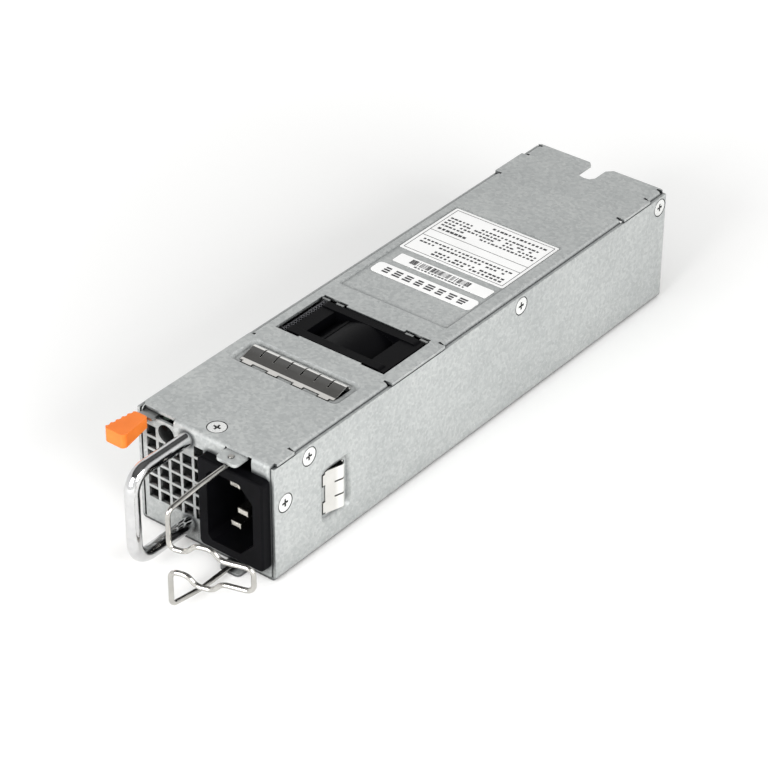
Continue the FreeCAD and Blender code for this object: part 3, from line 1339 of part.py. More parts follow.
def make_latch_spring():
    """Torsion spring round the pin: one leg bears on the bracket, the other on the lever's flange."""
    wire = size("springWire")
    radius = size("latchPin") / 2 + size("springEase") + wire / 2
    centre = vec(size("latchPivotX"), size("latchPivotY"), 0)
    inner = size("caseWidth") / 2 - size("wall")
    lever_face = vec(size("panelGap") + 0.5 - inner + size("latchGauge") + wire / 2, 0, 0).x
    ends = []
    for target, side in ((vec(lever_face, size("hookFront") + size("hookLength") + 0.3, 0), -1),
                         (vec(size("latchShelf") - inner + wire / 2,
                              centre.y + size("rivetPitch") / 2 + 1.5, 0), 1)):
        reach = target - centre
        reach.z = 0
        spread = math.acos(radius / reach.Length)
        angle = math.atan2(reach.y, reach.x) - side * spread
        ends.append((angle, math.sqrt(reach.Length ** 2 - radius ** 2)))
    top = size("caseHeight") - size("coverGauge") - size("latchUnderCover") - size("latchGauge")
    top -= size("latchShelfGap") + size("latchShelf") + wire / 2 + 0.1
    start, stop = ends[0][0], ends[1][0]
    turns = int(size("springTurns")) + ((stop - start) / (2 * math.pi)) % 1
    pitch = wire + size("springEase") / 2
    coil = doc.addObject("Part::Helix", "spring_helix")
    coil.Pitch, coil.Height, coil.Radius = pitch, pitch * turns, radius
    turned_to_leg = FreeCAD.Rotation(AXES["Z"], math.degrees(start))
    coil.Placement = FreeCAD.Placement(centre + vec(0, 0, top - pitch * turns), turned_to_leg)
    doc.recompute()
    ring = doc.addObject("Part::RegularPolygon", "spring_section")
    ring.Polygon, ring.Circumradius = int(size("springSides")), wire / 2
    first = coil.Placement.multVec(vec(radius, 0, 0))
    along = vec(-math.sin(start), math.cos(start), pitch / (2 * math.pi * radius))
    ring.Placement = FreeCAD.Placement(first, FreeCAD.Rotation(AXES["Z"], along))
    body_coil = doc.addObject("Part::Sweep", "spring_coil")
    body_coil.Sections = [ring]
    body_coil.Spine = (coil, ["Edge1"])
    body_coil.Solid = True
    body_coil.Frenet = True
    legs = []
    for (angle, length), side, height in ((ends[0], -1, top - pitch * turns), (ends[1], 1, top)):
        leg = doc.addObject("Part::Cylinder", f"spring_leg{len(legs)}")
        leg.Radius, leg.Height = wire / 2, length + wire / 3
        heading = vec(-math.sin(angle), math.cos(angle), 0) * side
        root = centre + vec(radius * math.cos(angle), radius * math.sin(angle), height) - heading * wire / 3
        leg.Placement = FreeCAD.Placement(root, FreeCAD.Rotation(AXES["Z"], heading))
        legs.append(leg)
    return fuse("latch_spring", [body_coil] + legs)


# ---------------------------------------------------------------------------------------------
# Spring finger strips
# ---------------------------------------------------------------------------------------------
def finger_profile(middle, floor):
    """Cross-section of a strip: front rail, long rise, rounded crest, short fall and rear rail."""
    half, rail, thick, rise = "fingerDepth / 2", "fingerRail", "fingerGauge", "fingerRise"
    crest = f"({half} - 1.5 * {rail})"
    # along the strip, height as a share of the rise, and how far the upper side leans back
    stations = [
        (f"(0 - {half})", 0, 0), (f"({rail} - {half})", 0, -0.2), (f"({crest} - crestHalf)", 0.85, -0.3),
        (f"({crest} - crestHalf / 3)", 1, 0), (f"({crest} + crestHalf / 3)", 1, 0.2),
        (f"({crest} + crestHalf)", 0.8, 0.7), (f"({half} - 0.6 * {rail})", 0, 0.5), (f"({half})", 0, 0),
    ]
    climb = f"({rise} - {thick})"
    under = [(f"{middle} + {along}", f"{floor} + {share} * {climb}") for along, share, _ in stations]
    over = [(f"{middle} + {along} + ({lean}) * {thick}", f"{floor} + {share} * {climb} + {thick}")
            for along, share, lean in stations]
    return under + over[::-1]


def finger_strip(name, seat, row, fingers, clips, facing):
    """A strip of contact fingers lying in its dish, with clips bent down through the seat ahead of it.

    row is (middle, floor): where the row's middle lies, and the height of the seat it lies on.
    """
    middle, floor = row
    upward = facing == "Z"
    section_plane, slit_plane, along_row = (
        ("YZ_Plane", "XY_Plane", "X_Axis") if upward else ("XY_Plane", "YZ_Plane", "Z_Axis"))

    def turned_over(first, second):
        return (first, second) if upward else (second, first)

    owner = body(name)
    width = f"({fingers} * fingerPitch)"
    start = f"({middle} - {width} / 2)"
    section = sketch(owner, name + "_section", section_plane, f"{start} + fingerSlit / 2")
    polygon(section, [turned_over(*point) for point in finger_profile(seat, floor)])
    pad(owner, name + "_band", section, f"{width} - fingerSlit")
    slit = sketch(owner, name + "_slit", slit_plane, f"({floor} - 2 * fingerGauge)")
    first_slit = (f"{start} + fingerPitch - fingerSlit / 2", f"{start} + fingerPitch + fingerSlit / 2")
    lengthways = (f"{seat} - fingerRail / 2", f"{seat} + fingerDepth / 2 - fingerRail / 2")
    rectangle(slit, *turned_over(first_slit, lengthways))
    gap = pocket(owner, name + "_gap", slit, "4 * fingerRise", reverse=True)
    repeat(owner, name + "_gaps", [gap], along_row, "fingerPitch", f"{fingers} - 1")

    front = f"({seat} - fingerDepth / 2)"
    shapes = [owner]
    for i in range(int(size(clips))):
        centre = f"({middle} + ({i} - ({clips} - 1) / 2) * clipPitch)"
        span = (f"{centre} - clipWide / 2", f"{centre} + clipWide / 2")
        for label, ys, depth in (
            ("over", (f"{front} - clipReach", f"{front} + fitGap"), (floor, f"{floor} + fingerGauge")),
            ("down", (f"{front} - clipReach", f"{front} - clipReach + fingerGauge"),
             (f"{floor} - wall - fingerGauge", f"{floor} + fingerGauge")),
        ):
            shapes.append(box(f"{name}_{label}{i}", *((span, ys, depth) if upward else (depth, ys, span))))
    return fuse(name + "_whole", shapes)


def make_strips():
    """Seven fingers on the cover and three on the right wall."""
    top = finger_strip("top_finger_strip", "topDishCentre", ("seatShift", DISH_FLOOR), "topFingers",
                       "topClips", "Z")
    side = finger_strip("side_finger_strip", "sideDishCentre", ("sideDishMiddle", f"({HALF} - dishDepth)"),
                        "sideFingers", "sideClips", "X")
    return top, side


# ---------------------------------------------------------------------------------------------
# Fan
# ---------------------------------------------------------------------------------------------
def square_plate(name, ys):
    side = ("fanSize / 2", f"{FAN_Z} + fanSize / 2")
    blank = box(name + "_blank", (f"0 - {side[0]}", side[0]), ys, (f"{FAN_Z} - fanSize / 2", side[1]))
    return rounded(name, blank, size("fanCorner"), lambda a, b: near(a.x, b.x) and near(a.z, b.z))


def make_fan_frame():
    """Square frame: two flanges joined by a barrel and corner posts, four struts and the motor mount."""
    centre = ["0", FAN_Z]
    depth, through = ("fanFront", FAN_BACK), ("fanFront - 1", f"{FAN_BACK} + 1")
    ahead = square_plate("fan_front_flange", ("fanFront", "fanFront + fanFlange"))
    behind = square_plate("fan_rear_flange", (f"{FAN_BACK} - fanFlange", FAN_BACK))
    barrel = cylinder("fan_barrel", "Y", centre, depth, "fanSize - 2 * fitGap")
    solid = [ahead, behind, barrel]
    tools = [cylinder("fan_bore", "Y", centre, through, "fanBore")]
    outer, inner, hole = "(fanSize / 2 - fanPostBelow)", "(fanSize / 2 - fanPost)", "(fanHolePitch / 2)"
    for i, side in enumerate((-1, 1)):
        xs = [f"({side}) * {edge}" for edge in (inner, outer)][::side]
        for k, end in enumerate((-1, 1)):
            zs = [f"{FAN_Z} + ({end}) * {edge}" for edge in (inner, outer)][::end]
            solid.append(box(f"fan_post{i}{k}", xs, depth, zs))
            tools.append(cylinder(f"fan_screw_hole{i}{k}", "Y",
                                  [f"({side}) * {hole}", f"{FAN_Z} + ({end}) * {hole}"],
                                  through, "fanHole"))
    solid.append(box("fan_rib", ("0 - fanRibAt - fanRibWide / 2", "fanRibWide / 2 - fanRibAt"), depth,
                     (f"{FAN_Z} + fanBore / 2 - fanWall", f"{FAN_Z} + fanBore / 2 + fanPostBelow")))
    tools.append(box("fan_lead_groove", ("0 - fanSize / 2 - 1", "fanGrooveWide - fanSize / 2"), through,
                     (f"{FAN_Z} + fanSize / 2 - fanGrooveDeep", f"{FAN_Z} + fanSize / 2 + 1")))
    shell = cut("fan_shell", fuse("fan_blank", solid), tools)
    back = (f"{FAN_BACK} - fanStrut", FAN_BACK)
    reach = "(fanBore / 2 + 2 * fitGap)"
    struts = [
        box("fan_strut_across", (f"0 - {reach}", reach), back,
            (f"{FAN_Z} - fanStrut / 2", f"{FAN_Z} + fanStrut / 2")),
        box("fan_strut_up", ("0 - fanStrut / 2", "fanStrut / 2"), back,
            (f"{FAN_Z} - {reach}", f"{FAN_Z} + {reach}")),
        cylinder("fan_motor_base", "Y", centre, back, "fanHub"),
        cylinder("fan_bearing_tube", "Y", centre, ("fanFront + fanNose + fanTubeBehind", FAN_BACK),
                 "fanTube"),
    ]
    bore = cylinder("fan_tube_bore", "Y", centre, ("fanFront", f"{FAN_BACK} - 1"), "fanBearing")
    return cut("fan_frame", fuse("fan_frame_whole", [shell] + struts), [bore])


def make_fan_rotor():
    """Cup-shaped hub with its blades, drawn round the fan's own axis."""
    owner = body("fan_rotor")
    front = sketch(owner, "fan_hub_outline", "XZ_Plane", "0")
    circle(front, "0", "0", "fanHub")
    pad(owner, "fan_hub", front, "fanHubLength", reverse=True)
    roots = []
    for label in ("Root", "Tip"):
        made = sketch(owner, f"fan_blade_{label.lower()}", "XY_Plane", f"fanBlade{label}")
        turn = math.radians(size(f"blade{label}Lean"))
        along = vec(math.sin(turn), math.cos(turn), 0) * size(f"blade{label}Chord") / 2
        aside = vec(math.cos(turn), -math.sin(turn), 0) * size(f"blade{label}Thick") / 2
        corners = [along + aside, aside - along, vec(0, 0, 0) - along - aside, along - aside]
        polygon(made, [(f"({corner.x:.3f})", f"(fanHubLength / 2 + ({corner.y:.3f}))") for corner in corners])
        roots.append(made)
    blade = owner.newObject("PartDesign::AdditiveLoft", "fan_blade")
    blade.Profile = roots[0]
    blade.Sections = [roots[1]]
    blade.Ruled = True
    owner.Tip = blade
    ring = owner.newObject("PartDesign::PolarPattern", "fan_blade_ring")
    ring.Originals = [blade]
    axis = next(item for item in owner.Origin.OriginFeatures if item.Role == "Y_Axis")
    ring.Axis = (axis, [""])
    ring.Angle = 360
    bind(ring, "Occurrences", "fanBlades")
    owner.Tip = ring
    hollow = sketch(owner, "fan_cup", "XZ_Plane", "0 - fanHubLength")
    circle(hollow, "0", "0", "fanHub - 2 * fanCupWall")
    pocket(owner, "fan_cup_cut", hollow, "fanHubLength - fanCupWall", reverse=True)
    shaft = sketch(owner, "fan_shaft_hole", "XZ_Plane", "0")
    circle(shaft, "0", "0", "fanShaft")
    pocket(owner, "fan_shaft_hole_cut", shaft, "4 * fanCupWall", middle=True)
    return owner


def make_fan_inside():
    """Shaft turning with the rotor, and the bearings and stator fixed on the frame's tube."""
    centre = ["0", FAN_Z]
    nose = "(fanFront + fanNose)"
    shaft = cylinder("fan_shaft_bar", "Y", centre, (nose, f"{FAN_BACK} - bearingInset / 2"), "fanShaft")
    rings = []
    for i, start in enumerate((f"{nose} + fanTubeBehind + 1",
                               f"{FAN_BACK} - bearingInset - bearingWide / 2")):
        outer = cylinder(f"fan_bearing_outer{i}", "Y", centre, (start, f"{start} + bearingWide"),
                         "fanBearing")
        inner = cylinder(f"fan_bearing_inner{i}", "Y", centre, (f"{start} - 1", f"{start} + bearingWide + 1"),
                         "fanShaft + 2 * pivotGap")
        rings.append(cut(f"fan_bearing{i}", outer, [inner]))
    stack = (f"{nose} + fanTubeBehind + 1", f"{nose} + fanHubLength - 1")
    past = (nose, f"{nose} + fanHubLength")
    core = cylinder("fan_core", "Y", centre, stack, "fanHub - 2 * fanCupWall - 2 * statorGap")
    eye = cylinder("fan_core_eye", "Y", centre, past, "fanTube + 2 * fitGap")
    slot = (f"{FAN_Z} - statorSlot / 2", f"{FAN_Z} + statorSlot / 2")
    slots = [box("fan_core_slot_x", ("0 - fanHub", "fanHub"), past, slot),
             box("fan_core_slot_z", ("0 - statorSlot / 2", "statorSlot / 2"), past,
                 (f"{FAN_Z} - fanHub", f"{FAN_Z} + fanHub"))]
    ring = cylinder("fan_core_ring", "Y", centre, stack, "fanTube + 2 * statorSlot")
    stator = cut("fan_stator", fuse("fan_core_whole", [cut("fan_core_poles", core, slots), ring]), [eye])
    return group("fan_shaft", [shaft]), group("fan_bearings", rings), stator


def make_fan_bracket():
    """Sheet frame behind the fan, standing on the floor, with two pairs of tabs up through the
    cover's notches."""
    ys = (FAN_BACK, f"{FAN_BACK} + latchGauge")
    left = f"(seam - {FLANGE_IN})"
    plate = box("fan_bracket_plate", (left, INNER), ys, ("wall", WALL_TOP))
    tabs = []
    outer = "(fanWindowWidth / 2 - clipNotchInset - fanTabSlack)"
    for side in (-1, 1):
        for i, inset in enumerate(("0", "(fanTab + fanTabGap)")):
            edges = [f"({side}) * ({outer} - {inset} - {more})" for more in ("fanTab", "0")]
            tabs.append(box(f"fan_bracket_tab{side + 1}{i}", edges[::side], ys,
                            (f"{WALL_TOP} - 1", "caseHeight - 2 * fitGap")))
    bore = cylinder("fan_bracket_bore", "Y", ["0", FAN_Z], (f"{FAN_BACK} - 1", f"{FAN_BACK} + 2"),
                    "fanBore - fanWall / 2")
    notch = box("fan_bracket_corner", (left + " - 1", f"{left} + bendOuter"), ys, ("0", "wall + bendOuter"))
    return cut("fan_bracket", fuse("fan_bracket_blank", [plate] + tabs), [bore, notch])


# ---------------------------------------------------------------------------------------------
# Labels
# ---------------------------------------------------------------------------------------------
def make_label(name, wide, long, centre, shift, corner):
    seat = "(caseHeight - labelDishDepth)"
    middle = f"(seatShift + {shift})"
    blank = box(name + "_blank", (f"{middle} - {wide} / 2", f"{middle} + {wide} / 2"),
                (f"{centre} - {long} / 2", f"{centre} + {long} / 2"), (seat, f"{seat} + labelGauge"))
    return rounded(name, blank, size(corner), along_z)


# ---------------------------------------------------------------------------------------------
# Electronics
# ---------------------------------------------------------------------------------------------
STANDOFFS = [("0 - boardWidth / 2 + 4", "boardFront + 5"), ("boardWidth / 2 - 4", "boardFront + 5"),
             ("0 - boardWidth / 2 + 4", f"{BOARD_BACK} - 6"), ("boardWidth / 2 - 4", f"{BOARD_BACK} - 6")]


def make_board():
    """Main board with the card-edge tongue that comes out through the rear wall."""
    owner = body("main_board")
    plan = sketch(owner, "board_plan", "XY_Plane", "boardHeight")
    half, tongue, tip = "(boardWidth / 2)", "(tongueWidth / 2)", "(caseLength + tongueReach)"
    polygon(plan, [
        (f"0 - {half}", "boardFront"), (half, "boardFront"), (half, BOARD_BACK), (tongue, BOARD_BACK),
        (tongue, f"{tip} - 1"), (f"{tongue} - 1", tip), (f"1 - {tongue}", tip),
        (f"0 - {tongue}", f"{tip} - 1"),
        (f"0 - {tongue}", BOARD_BACK), (f"0 - {half}", BOARD_BACK),
    ])
    for x, y in STANDOFFS:
        circle(plan, x, y, "boardScrew + 2 * fitGap")
    pad(owner, "board_plate", plan, "boardGauge")
    return owner


def make_contacts():
    """Gold pads on both faces of the tongue."""
    count = int(size("tongueWidth") / size("contactPitch"))
    tip = "(caseLength + tongueReach)"
    pads = []
    for side, zs in (("upper", (BOARD_TOP, f"{BOARD_TOP} + contactGauge")),
                     ("lower", ("boardHeight - contactGauge", "boardHeight"))):
        for i in range(count):
            middle = f"(({i} - ({count} - 1) / 2) * contactPitch)"
            pads.append(box(f"contact_{side}{i}",
                            (f"{middle} - contactWidth / 2", f"{middle} + contactWidth / 2"),
                            (f"{tip} - tongueReach + 1", f"{tip} - 0.8"), zs))
    return group("edge_contacts", pads)


def make_board_fixings():
    """Standoffs on the floor, the screws down into them, and the insulating sheet round them."""
    posts, screws, holes = [], [], []
    for i, (x, y) in enumerate(STANDOFFS):
        post = prism(f"standoff_post{i}", "Z", [x, y], ("wall", "boardHeight"), "standoffSize", "6")
        bore = cylinder(f"standoff_bore{i}", "Z", [x, y], ("wall + 0.5", "boardHeight + 1"),
                        "boardScrew + 2 * fitGap")
        posts.append(cut(f"standoff{i}", post, [bore]))
        shank = cylinder(f"board_screw_shank{i}", "Z", [x, y], ("wall + 1.5", BOARD_TOP), "boardScrew")
        head = cylinder(f"board_screw_head{i}", "Z", [x, y], (BOARD_TOP, f"{BOARD_TOP} + panHead"),
                        "standoffSize")
        screws.append(fuse(f"board_screw{i}", [shank, head]))
        holes.append(cylinder(f"sheet_hole{i}", "Z", [x, y], ("0", "boardHeight"), "standoffSize + 1"))
    sheet_blank = box("sheet_blank", ("0 - boardWidth / 2", "boardWidth / 2"),
                      ("boardFront", f"{BOARD_BACK} - 1"),
                      ("wall", "wall + sheetGauge"))
    return (group("standoffs", posts), group("board_screws", screws),
            cut("insulating_sheet", sheet_blank, holes))


def make_power_stage():
    """The large parts standing on the main board, each on the board's upper face."""
    def at(share):
        """A place along the board, as a share of its length from its front edge."""
        return f"(boardFront + {share} * ({BOARD_BACK} - boardFront))"

    def upright(name, xs, ys, tall):
        return box(name, xs, ys, (BOARD_TOP, f"{BOARD_TOP} + {tall}"))

    filters = []
    for i, (middle, tall) in enumerate((("(0 - filterOffset)", "filterTall"), ("filterOffset", "filterLow"))):
        filters.append(upright(f"filter_box{i}", (f"{middle} - filterWide / 2", f"{middle} + filterWide / 2"),
                               (f"{at('filterAt')} - filterLong / 2", f"{at('filterAt')} + filterLong / 2"),
                               tall))
    bulk = [cylinder(f"bulk_can{i}", "Y",
                     [f"({side}) * (bulkCan + bulkApart) / 2", f"({BOARD_TOP} + bulkCan / 2)"],
                     (at("bulkFrom"), at("bulkTo")), "bulkCan") for i, side in enumerate((-1, 1))]
    core_ys = (at("coreFrom"), at("coreTo"))
    core_right = "(coreLeft + coreWide)"
    legs = [upright("core_left", ("coreLeft", "coreLeft + coreLimb"), core_ys, "coreTall"),
            upright("core_right", (f"{core_right} - coreLimb", core_right), core_ys, "coreTall"),
            box("core_roof", ("coreLeft", core_right), core_ys,
                (f"{BOARD_TOP} + coreTall - coreLimb", f"{BOARD_TOP} + coreTall"))]
    winding = upright("winding_block", ("coreLeft + coreLimb", f"{core_right} - coreLimb"),
                      (f"{core_ys[0]} + windingInset", f"{core_ys[1]} - windingInset"),
                      "(coreTall - coreLimb)")
    choke_centre = [f"({core_ys[0]} + chokeSize / 2)", f"({BOARD_TOP} + chokeSize / 2)"]
    choke_outer = cylinder("choke_outer", "X", choke_centre, ("chokeLeft", "chokeLeft + chokeWide"),
                           "chokeSize")
    choke_inner = cylinder("choke_inner", "X", choke_centre, ("chokeLeft - 1", "chokeLeft + chokeWide + 1"),
                           "chokeEye")
    edge = "(boardWidth / 2 - sinkInset)"
    sinks = []
    for i, side in enumerate((-1, 1)):
        faces = [f"({side}) * ({edge} - {more})" for more in ("sinkGauge", "0")]
        sinks.append(upright(f"sink{i}", faces[::side], (at("sinkFrom"), at("sinkTo")), "sinkTall"))
    cans = []
    for row in range(2):
        for column in (-1, 1):
            cans.append(cylinder(f"output_can{row}{column + 1}", "Z", [
                f"({column}) * canPitch / 2", f"({BOARD_BACK} - canBehind - {row} * canPitch)",
            ], (BOARD_TOP, f"{BOARD_TOP} + canTall"), "canWide"))
    return {
        "bulk_capacitors": group("bulk_capacitors", bulk),
        "transformer_core": fuse("transformer_core", legs),
        "transformer_winding": group("transformer_winding", [winding]),
        "output_choke": cut("output_choke", choke_outer, [choke_inner]),
        "heat_sinks": group("heat_sinks", sinks),
        "output_capacitors": group("output_capacitors", cans),
        "filter_capacitors": group("filter_capacitors", filters),
    }


# ---------------------------------------------------------------------------------------------
# Assembly: every finished piece, moved so that the origin is the middle of the underside
# ---------------------------------------------------------------------------------------------
side_screws, front_screws = make_case_screws()
power_blades, earth_blade = make_blades()
top_finger_strip, side_finger_strip = make_strips()
status_light, light_board = make_status_light()
fan_shaft, fan_bearings, fan_stator = make_fan_inside()
standoffs, board_screws, insulating_sheet = make_board_fixings()

PIECES = {
    "chassis": make_chassis(),
    "top_cover": make_cover(),
    "side_screws": side_screws,
    "front_screws": front_screws,
    "handle_bracket": make_handle_bracket(),
    "handle": make_handle(),
    "handle_screws": make_handle_screws(),
    "inlet_housing": make_inlet_housing(),
    "power_blades": power_blades,
    "earth_blade": earth_blade,
    "status_light": status_light,
    "light_board": light_board,
    "retaining_bail": make_bail(),
    "latch": make_latch(),
    "latch_cap": make_latch_cap(),
    "latch_bracket": make_latch_bracket(),
    "latch_rivets": make_latch_rivets(),
    "latch_pin": make_latch_pin(),
    "latch_spring": make_latch_spring(),
    "top_finger_strip": top_finger_strip,
    "side_finger_strip": side_finger_strip,
    "fan_frame": make_fan_frame(),
    "fan_rotor": make_fan_rotor(),
    "fan_shaft": fan_shaft,
    "fan_bearings": fan_bearings,
    "fan_stator": fan_stator,
    "fan_bracket": make_fan_bracket(),
    "rating_label": make_label("rating_label", "ratingWidth", "ratingLength", "ratingCentre", "0.05",
                               "ratingCorner"),
    "strip_label": make_label("strip_label", "stripWidth", "stripLength", "stripCentre", "1.25",
                              "ratingCorner"),
    "note_label": make_label("note_label", "noteWidth", "noteLength", "noteCentre", "0.25", "noteCorner"),
    "main_board": make_board(),
    "edge_contacts": make_contacts(),
    "standoffs": standoffs,
    "board_screws": board_screws,
    "insulating_sheet": insulating_sheet,
}
PIECES.update(make_power_stage())

OWN_PLACES = {"fan_rotor": ("0", "(fanFront + fanNose)", FAN_Z)}
for name, piece in PIECES.items():
    piece.Label = name
    places = OWN_PLACES.get(name, ("0", "0", "0"))
    for letter, text in zip("xyz", places):
        shift = " - caseLength / 2" if letter == "y" else ""
        bind(piece, f"Placement.Base.{letter}", text + shift)
doc.recompute()

faults = [obj.Label for obj in doc.Objects if "Invalid" in obj.State or "Error" in obj.State]
for name, piece in PIECES.items():
    if piece.Shape.isNull() or not piece.Shape.isValid() or not piece.Shape.Solids:
        faults.append(name)
if faults:
    raise RuntimeError("not sound: " + ", ".join(faults))

os.makedirs("parts", exist_ok=True)
for name, piece in PIECES.items():
    piece.Shape.exportStep(f"parts/{name}.step")
print(len(PIECES), "pieces written")
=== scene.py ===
import json
import math

import bmesh
import bpy
from mathutils import Matrix, Vector


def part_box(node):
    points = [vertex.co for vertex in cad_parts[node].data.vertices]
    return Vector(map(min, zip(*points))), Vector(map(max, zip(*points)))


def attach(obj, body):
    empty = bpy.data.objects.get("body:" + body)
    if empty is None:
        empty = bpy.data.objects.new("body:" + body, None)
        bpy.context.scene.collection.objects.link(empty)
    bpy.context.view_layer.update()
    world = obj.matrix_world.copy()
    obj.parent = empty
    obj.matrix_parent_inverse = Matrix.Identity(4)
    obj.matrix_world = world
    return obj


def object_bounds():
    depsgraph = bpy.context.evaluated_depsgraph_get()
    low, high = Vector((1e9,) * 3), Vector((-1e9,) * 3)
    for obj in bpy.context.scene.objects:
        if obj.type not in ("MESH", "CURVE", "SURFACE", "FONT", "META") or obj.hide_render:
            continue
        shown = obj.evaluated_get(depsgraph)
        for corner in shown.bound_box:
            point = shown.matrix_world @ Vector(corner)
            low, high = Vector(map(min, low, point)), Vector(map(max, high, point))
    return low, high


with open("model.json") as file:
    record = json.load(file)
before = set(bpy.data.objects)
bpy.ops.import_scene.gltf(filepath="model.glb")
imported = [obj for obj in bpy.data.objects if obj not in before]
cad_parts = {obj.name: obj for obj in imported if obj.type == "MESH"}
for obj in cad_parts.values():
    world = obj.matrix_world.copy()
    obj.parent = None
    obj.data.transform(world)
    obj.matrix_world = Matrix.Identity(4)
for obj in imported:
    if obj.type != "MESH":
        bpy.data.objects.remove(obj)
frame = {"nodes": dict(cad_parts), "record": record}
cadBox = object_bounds()
scene = bpy.context.scene
mm = 0.001  # every size below is in millimetres until it meets this factor
nodes = frame["nodes"]
print("frame loaded:", len(nodes), "nodes")


def linearColor(hexText):  # sRGB hex to the linear colour that shaders take
    def channel(start):
        value = int(hexText[start:start + 2], 16) / 255
        return value / 12.92 if value <= 0.04045 else ((value + 0.055) / 1.055) ** 2.4
    return (channel(1), channel(3), channel(5), 1.0)


def setStops(colorRamp, stops):  # each stop is a place from 0 to 1 and its colour
    while len(colorRamp.elements) < len(stops):
        colorRamp.elements.new(0.5)
    for element, (place, colour) in zip(colorRamp.elements, stops):
        element.position = place
        element.color = linearColor(colour)


def addNode(tree, kind, settings=None, links=None):  # settings are properties, sockets or a ramp's stops
    node = tree.nodes.new(kind)
    for name, value in (settings or {}).items():
        if name == "stops":
            setStops(node.color_ramp, value)
        elif hasattr(node, str(name)):
            setattr(node, name, value)
        else:
            node.inputs[name].default_value = value
    for name, source in (links or {}).items():
        tree.links.new(source, node.inputs[name])
    return node


def newMaterial(name, sockets):
    material = bpy.data.materials.new(name)
    material.use_nodes = True
    tree = material.node_tree
    shader = tree.nodes["Principled BSDF"]
    for socket, value in sockets.items():
        shader.inputs[socket].default_value = value
    return material, tree, shader


def objectPoint(tree):  # a point on the piece in millimetres, so that 1 / size gives a pattern its real width
    coords = addNode(tree, "ShaderNodeTexCoord")
    mapping = addNode(tree, "ShaderNodeMapping", {"Scale": (1 / mm, 1 / mm, 1 / mm)},
                      {"Vector": coords.outputs["Object"]})
    return mapping.outputs["Vector"]


def driftingTone(tree, point, tones, size, detail=2.0, breakUp=0.5):
    # two close tones in soft patches this many mm wide; gives the colour and the pattern behind it
    drift = addNode(tree, "ShaderNodeTexNoise", {"Scale": 1 / size, "Detail": detail, "Roughness": breakUp},
                    {"Vector": point})
    tone = addNode(tree, "ShaderNodeValToRGB", {"stops": [(0.3, tones[0]), (0.7, tones[1])]},
                   {"Fac": drift.outputs["Fac"]})
    return tone.outputs["Color"], drift.outputs["Fac"]


def paintedOcclusionShade(tree, colour, look):
    # painted shade: darkens a colour where other surfaces within reach (mm) close in on it, from wholly
    # closed to clear
    shade = addNode(tree, "ShaderNodeAmbientOcclusion", {"samples": 6, "Distance": look["reach"] * mm})
    stops = [(look["closed"], look["darkest"]), (look["clear"], "#ffffff")]
    depth = addNode(tree, "ShaderNodeValToRGB", {"stops": stops}, {"Fac": shade.outputs["AO"]})
    mixed = addNode(tree, "ShaderNodeMix", {"data_type": "RGBA", "blend_type": "MULTIPLY", 0: 1.0},
                    {6: colour, 7: depth.outputs["Color"]})
    return mixed.outputs[2]


def dressShader(tree, shader, colour, sheen, relief, look):
    # roughness wanders with the sheen pattern, and the relief pattern stands depth mm high;
    # edge (mm) rounds the corners of the mesh to the eye
    smoothest, roughest = look["roughness"]
    finish = addNode(tree, "ShaderNodeMapRange", {
        "From Min": 0.25, "From Max": 0.75, "To Min": smoothest, "To Max": roughest}, {"Value": sheen})
    bump = addNode(tree, "ShaderNodeBump", {"Distance": look["depth"] * mm, "Strength": look["strength"]},
                   {"Height": relief})
    if look["edge"]:
        soft = addNode(tree, "ShaderNodeBevel", {"samples": 4, "Radius": look["edge"] * mm})
        tree.links.new(soft.outputs["Normal"], bump.inputs["Normal"])
    tree.links.new(colour, shader.inputs["Base Color"])
    tree.links.new(finish.outputs["Result"], shader.inputs["Roughness"])
    tree.links.new(bump.outputs["Normal"], shader.inputs["Normal"])


# hot-dip galvanised steel: a matt grey skin with a fine frosty spangle, light along its cut edges
def zincSheet():
    look = {"tones": ("#9ea1a1", "#b5b8b7", "#cccecc"), "spangle": 0.9, "cloud": 16.0, "grain": 0.4,
            "grainShare": 0.62, "cloudShare": 0.3, "metallic": 0.3,
            "roughness": (0.34, 0.48), "depth": 0.02, "strength": 0.25, "edge": 0.15}
    # painted shade: darker in the seams between sheets, and far darker on the sheet inside the case
    paintedSeamShade = {"reach": 1.6, "darkest": "#6a6c6e", "closed": 0.72, "clear": 0.992}
    inside = {"reach": 45.0, "darkest": "#1c1d1e", "closed": 0.12, "clear": 0.5}
    material, tree, shader = newMaterial("galvanisedSteelSheet", {"Metallic": look["metallic"]})
    point = objectPoint(tree)
    flakes = addNode(tree, "ShaderNodeTexVoronoi", {"Scale": 1 / look["spangle"]}, {"Vector": point})
    tone = addNode(tree, "ShaderNodeSeparateColor", None, {"Color": flakes.outputs["Color"]})
    grain = addNode(tree, "ShaderNodeTexNoise",
                    {"Scale": 1 / look["grain"], "Detail": 3.0, "Roughness": 0.65}, {"Vector": point})
    clouds = addNode(tree, "ShaderNodeTexNoise", {"Scale": 1 / look["cloud"], "Detail": 3.0},
                     {"Vector": point})
    frost = addNode(tree, "ShaderNodeMix", {"data_type": "FLOAT", "Factor": look["grainShare"]},
                    {"A": tone.outputs["Red"], "B": grain.outputs["Fac"]})
    mottle = addNode(tree, "ShaderNodeMix", {"data_type": "FLOAT", "Factor": look["cloudShare"]},
                     {"A": frost.outputs["Result"], "B": clouds.outputs["Fac"]}).outputs["Result"]
    skin = addNode(tree, "ShaderNodeValToRGB", {"stops": list(zip((0.2, 0.5, 0.8), look["tones"]))},
                   {"Fac": mottle})
    colour = paintedOcclusionShade(tree, paintedOcclusionShade(tree, skin.outputs["Color"], paintedSeamShade), inside)
    dressShader(tree, shader, colour, mottle, grain.outputs["Fac"], look)
    return material


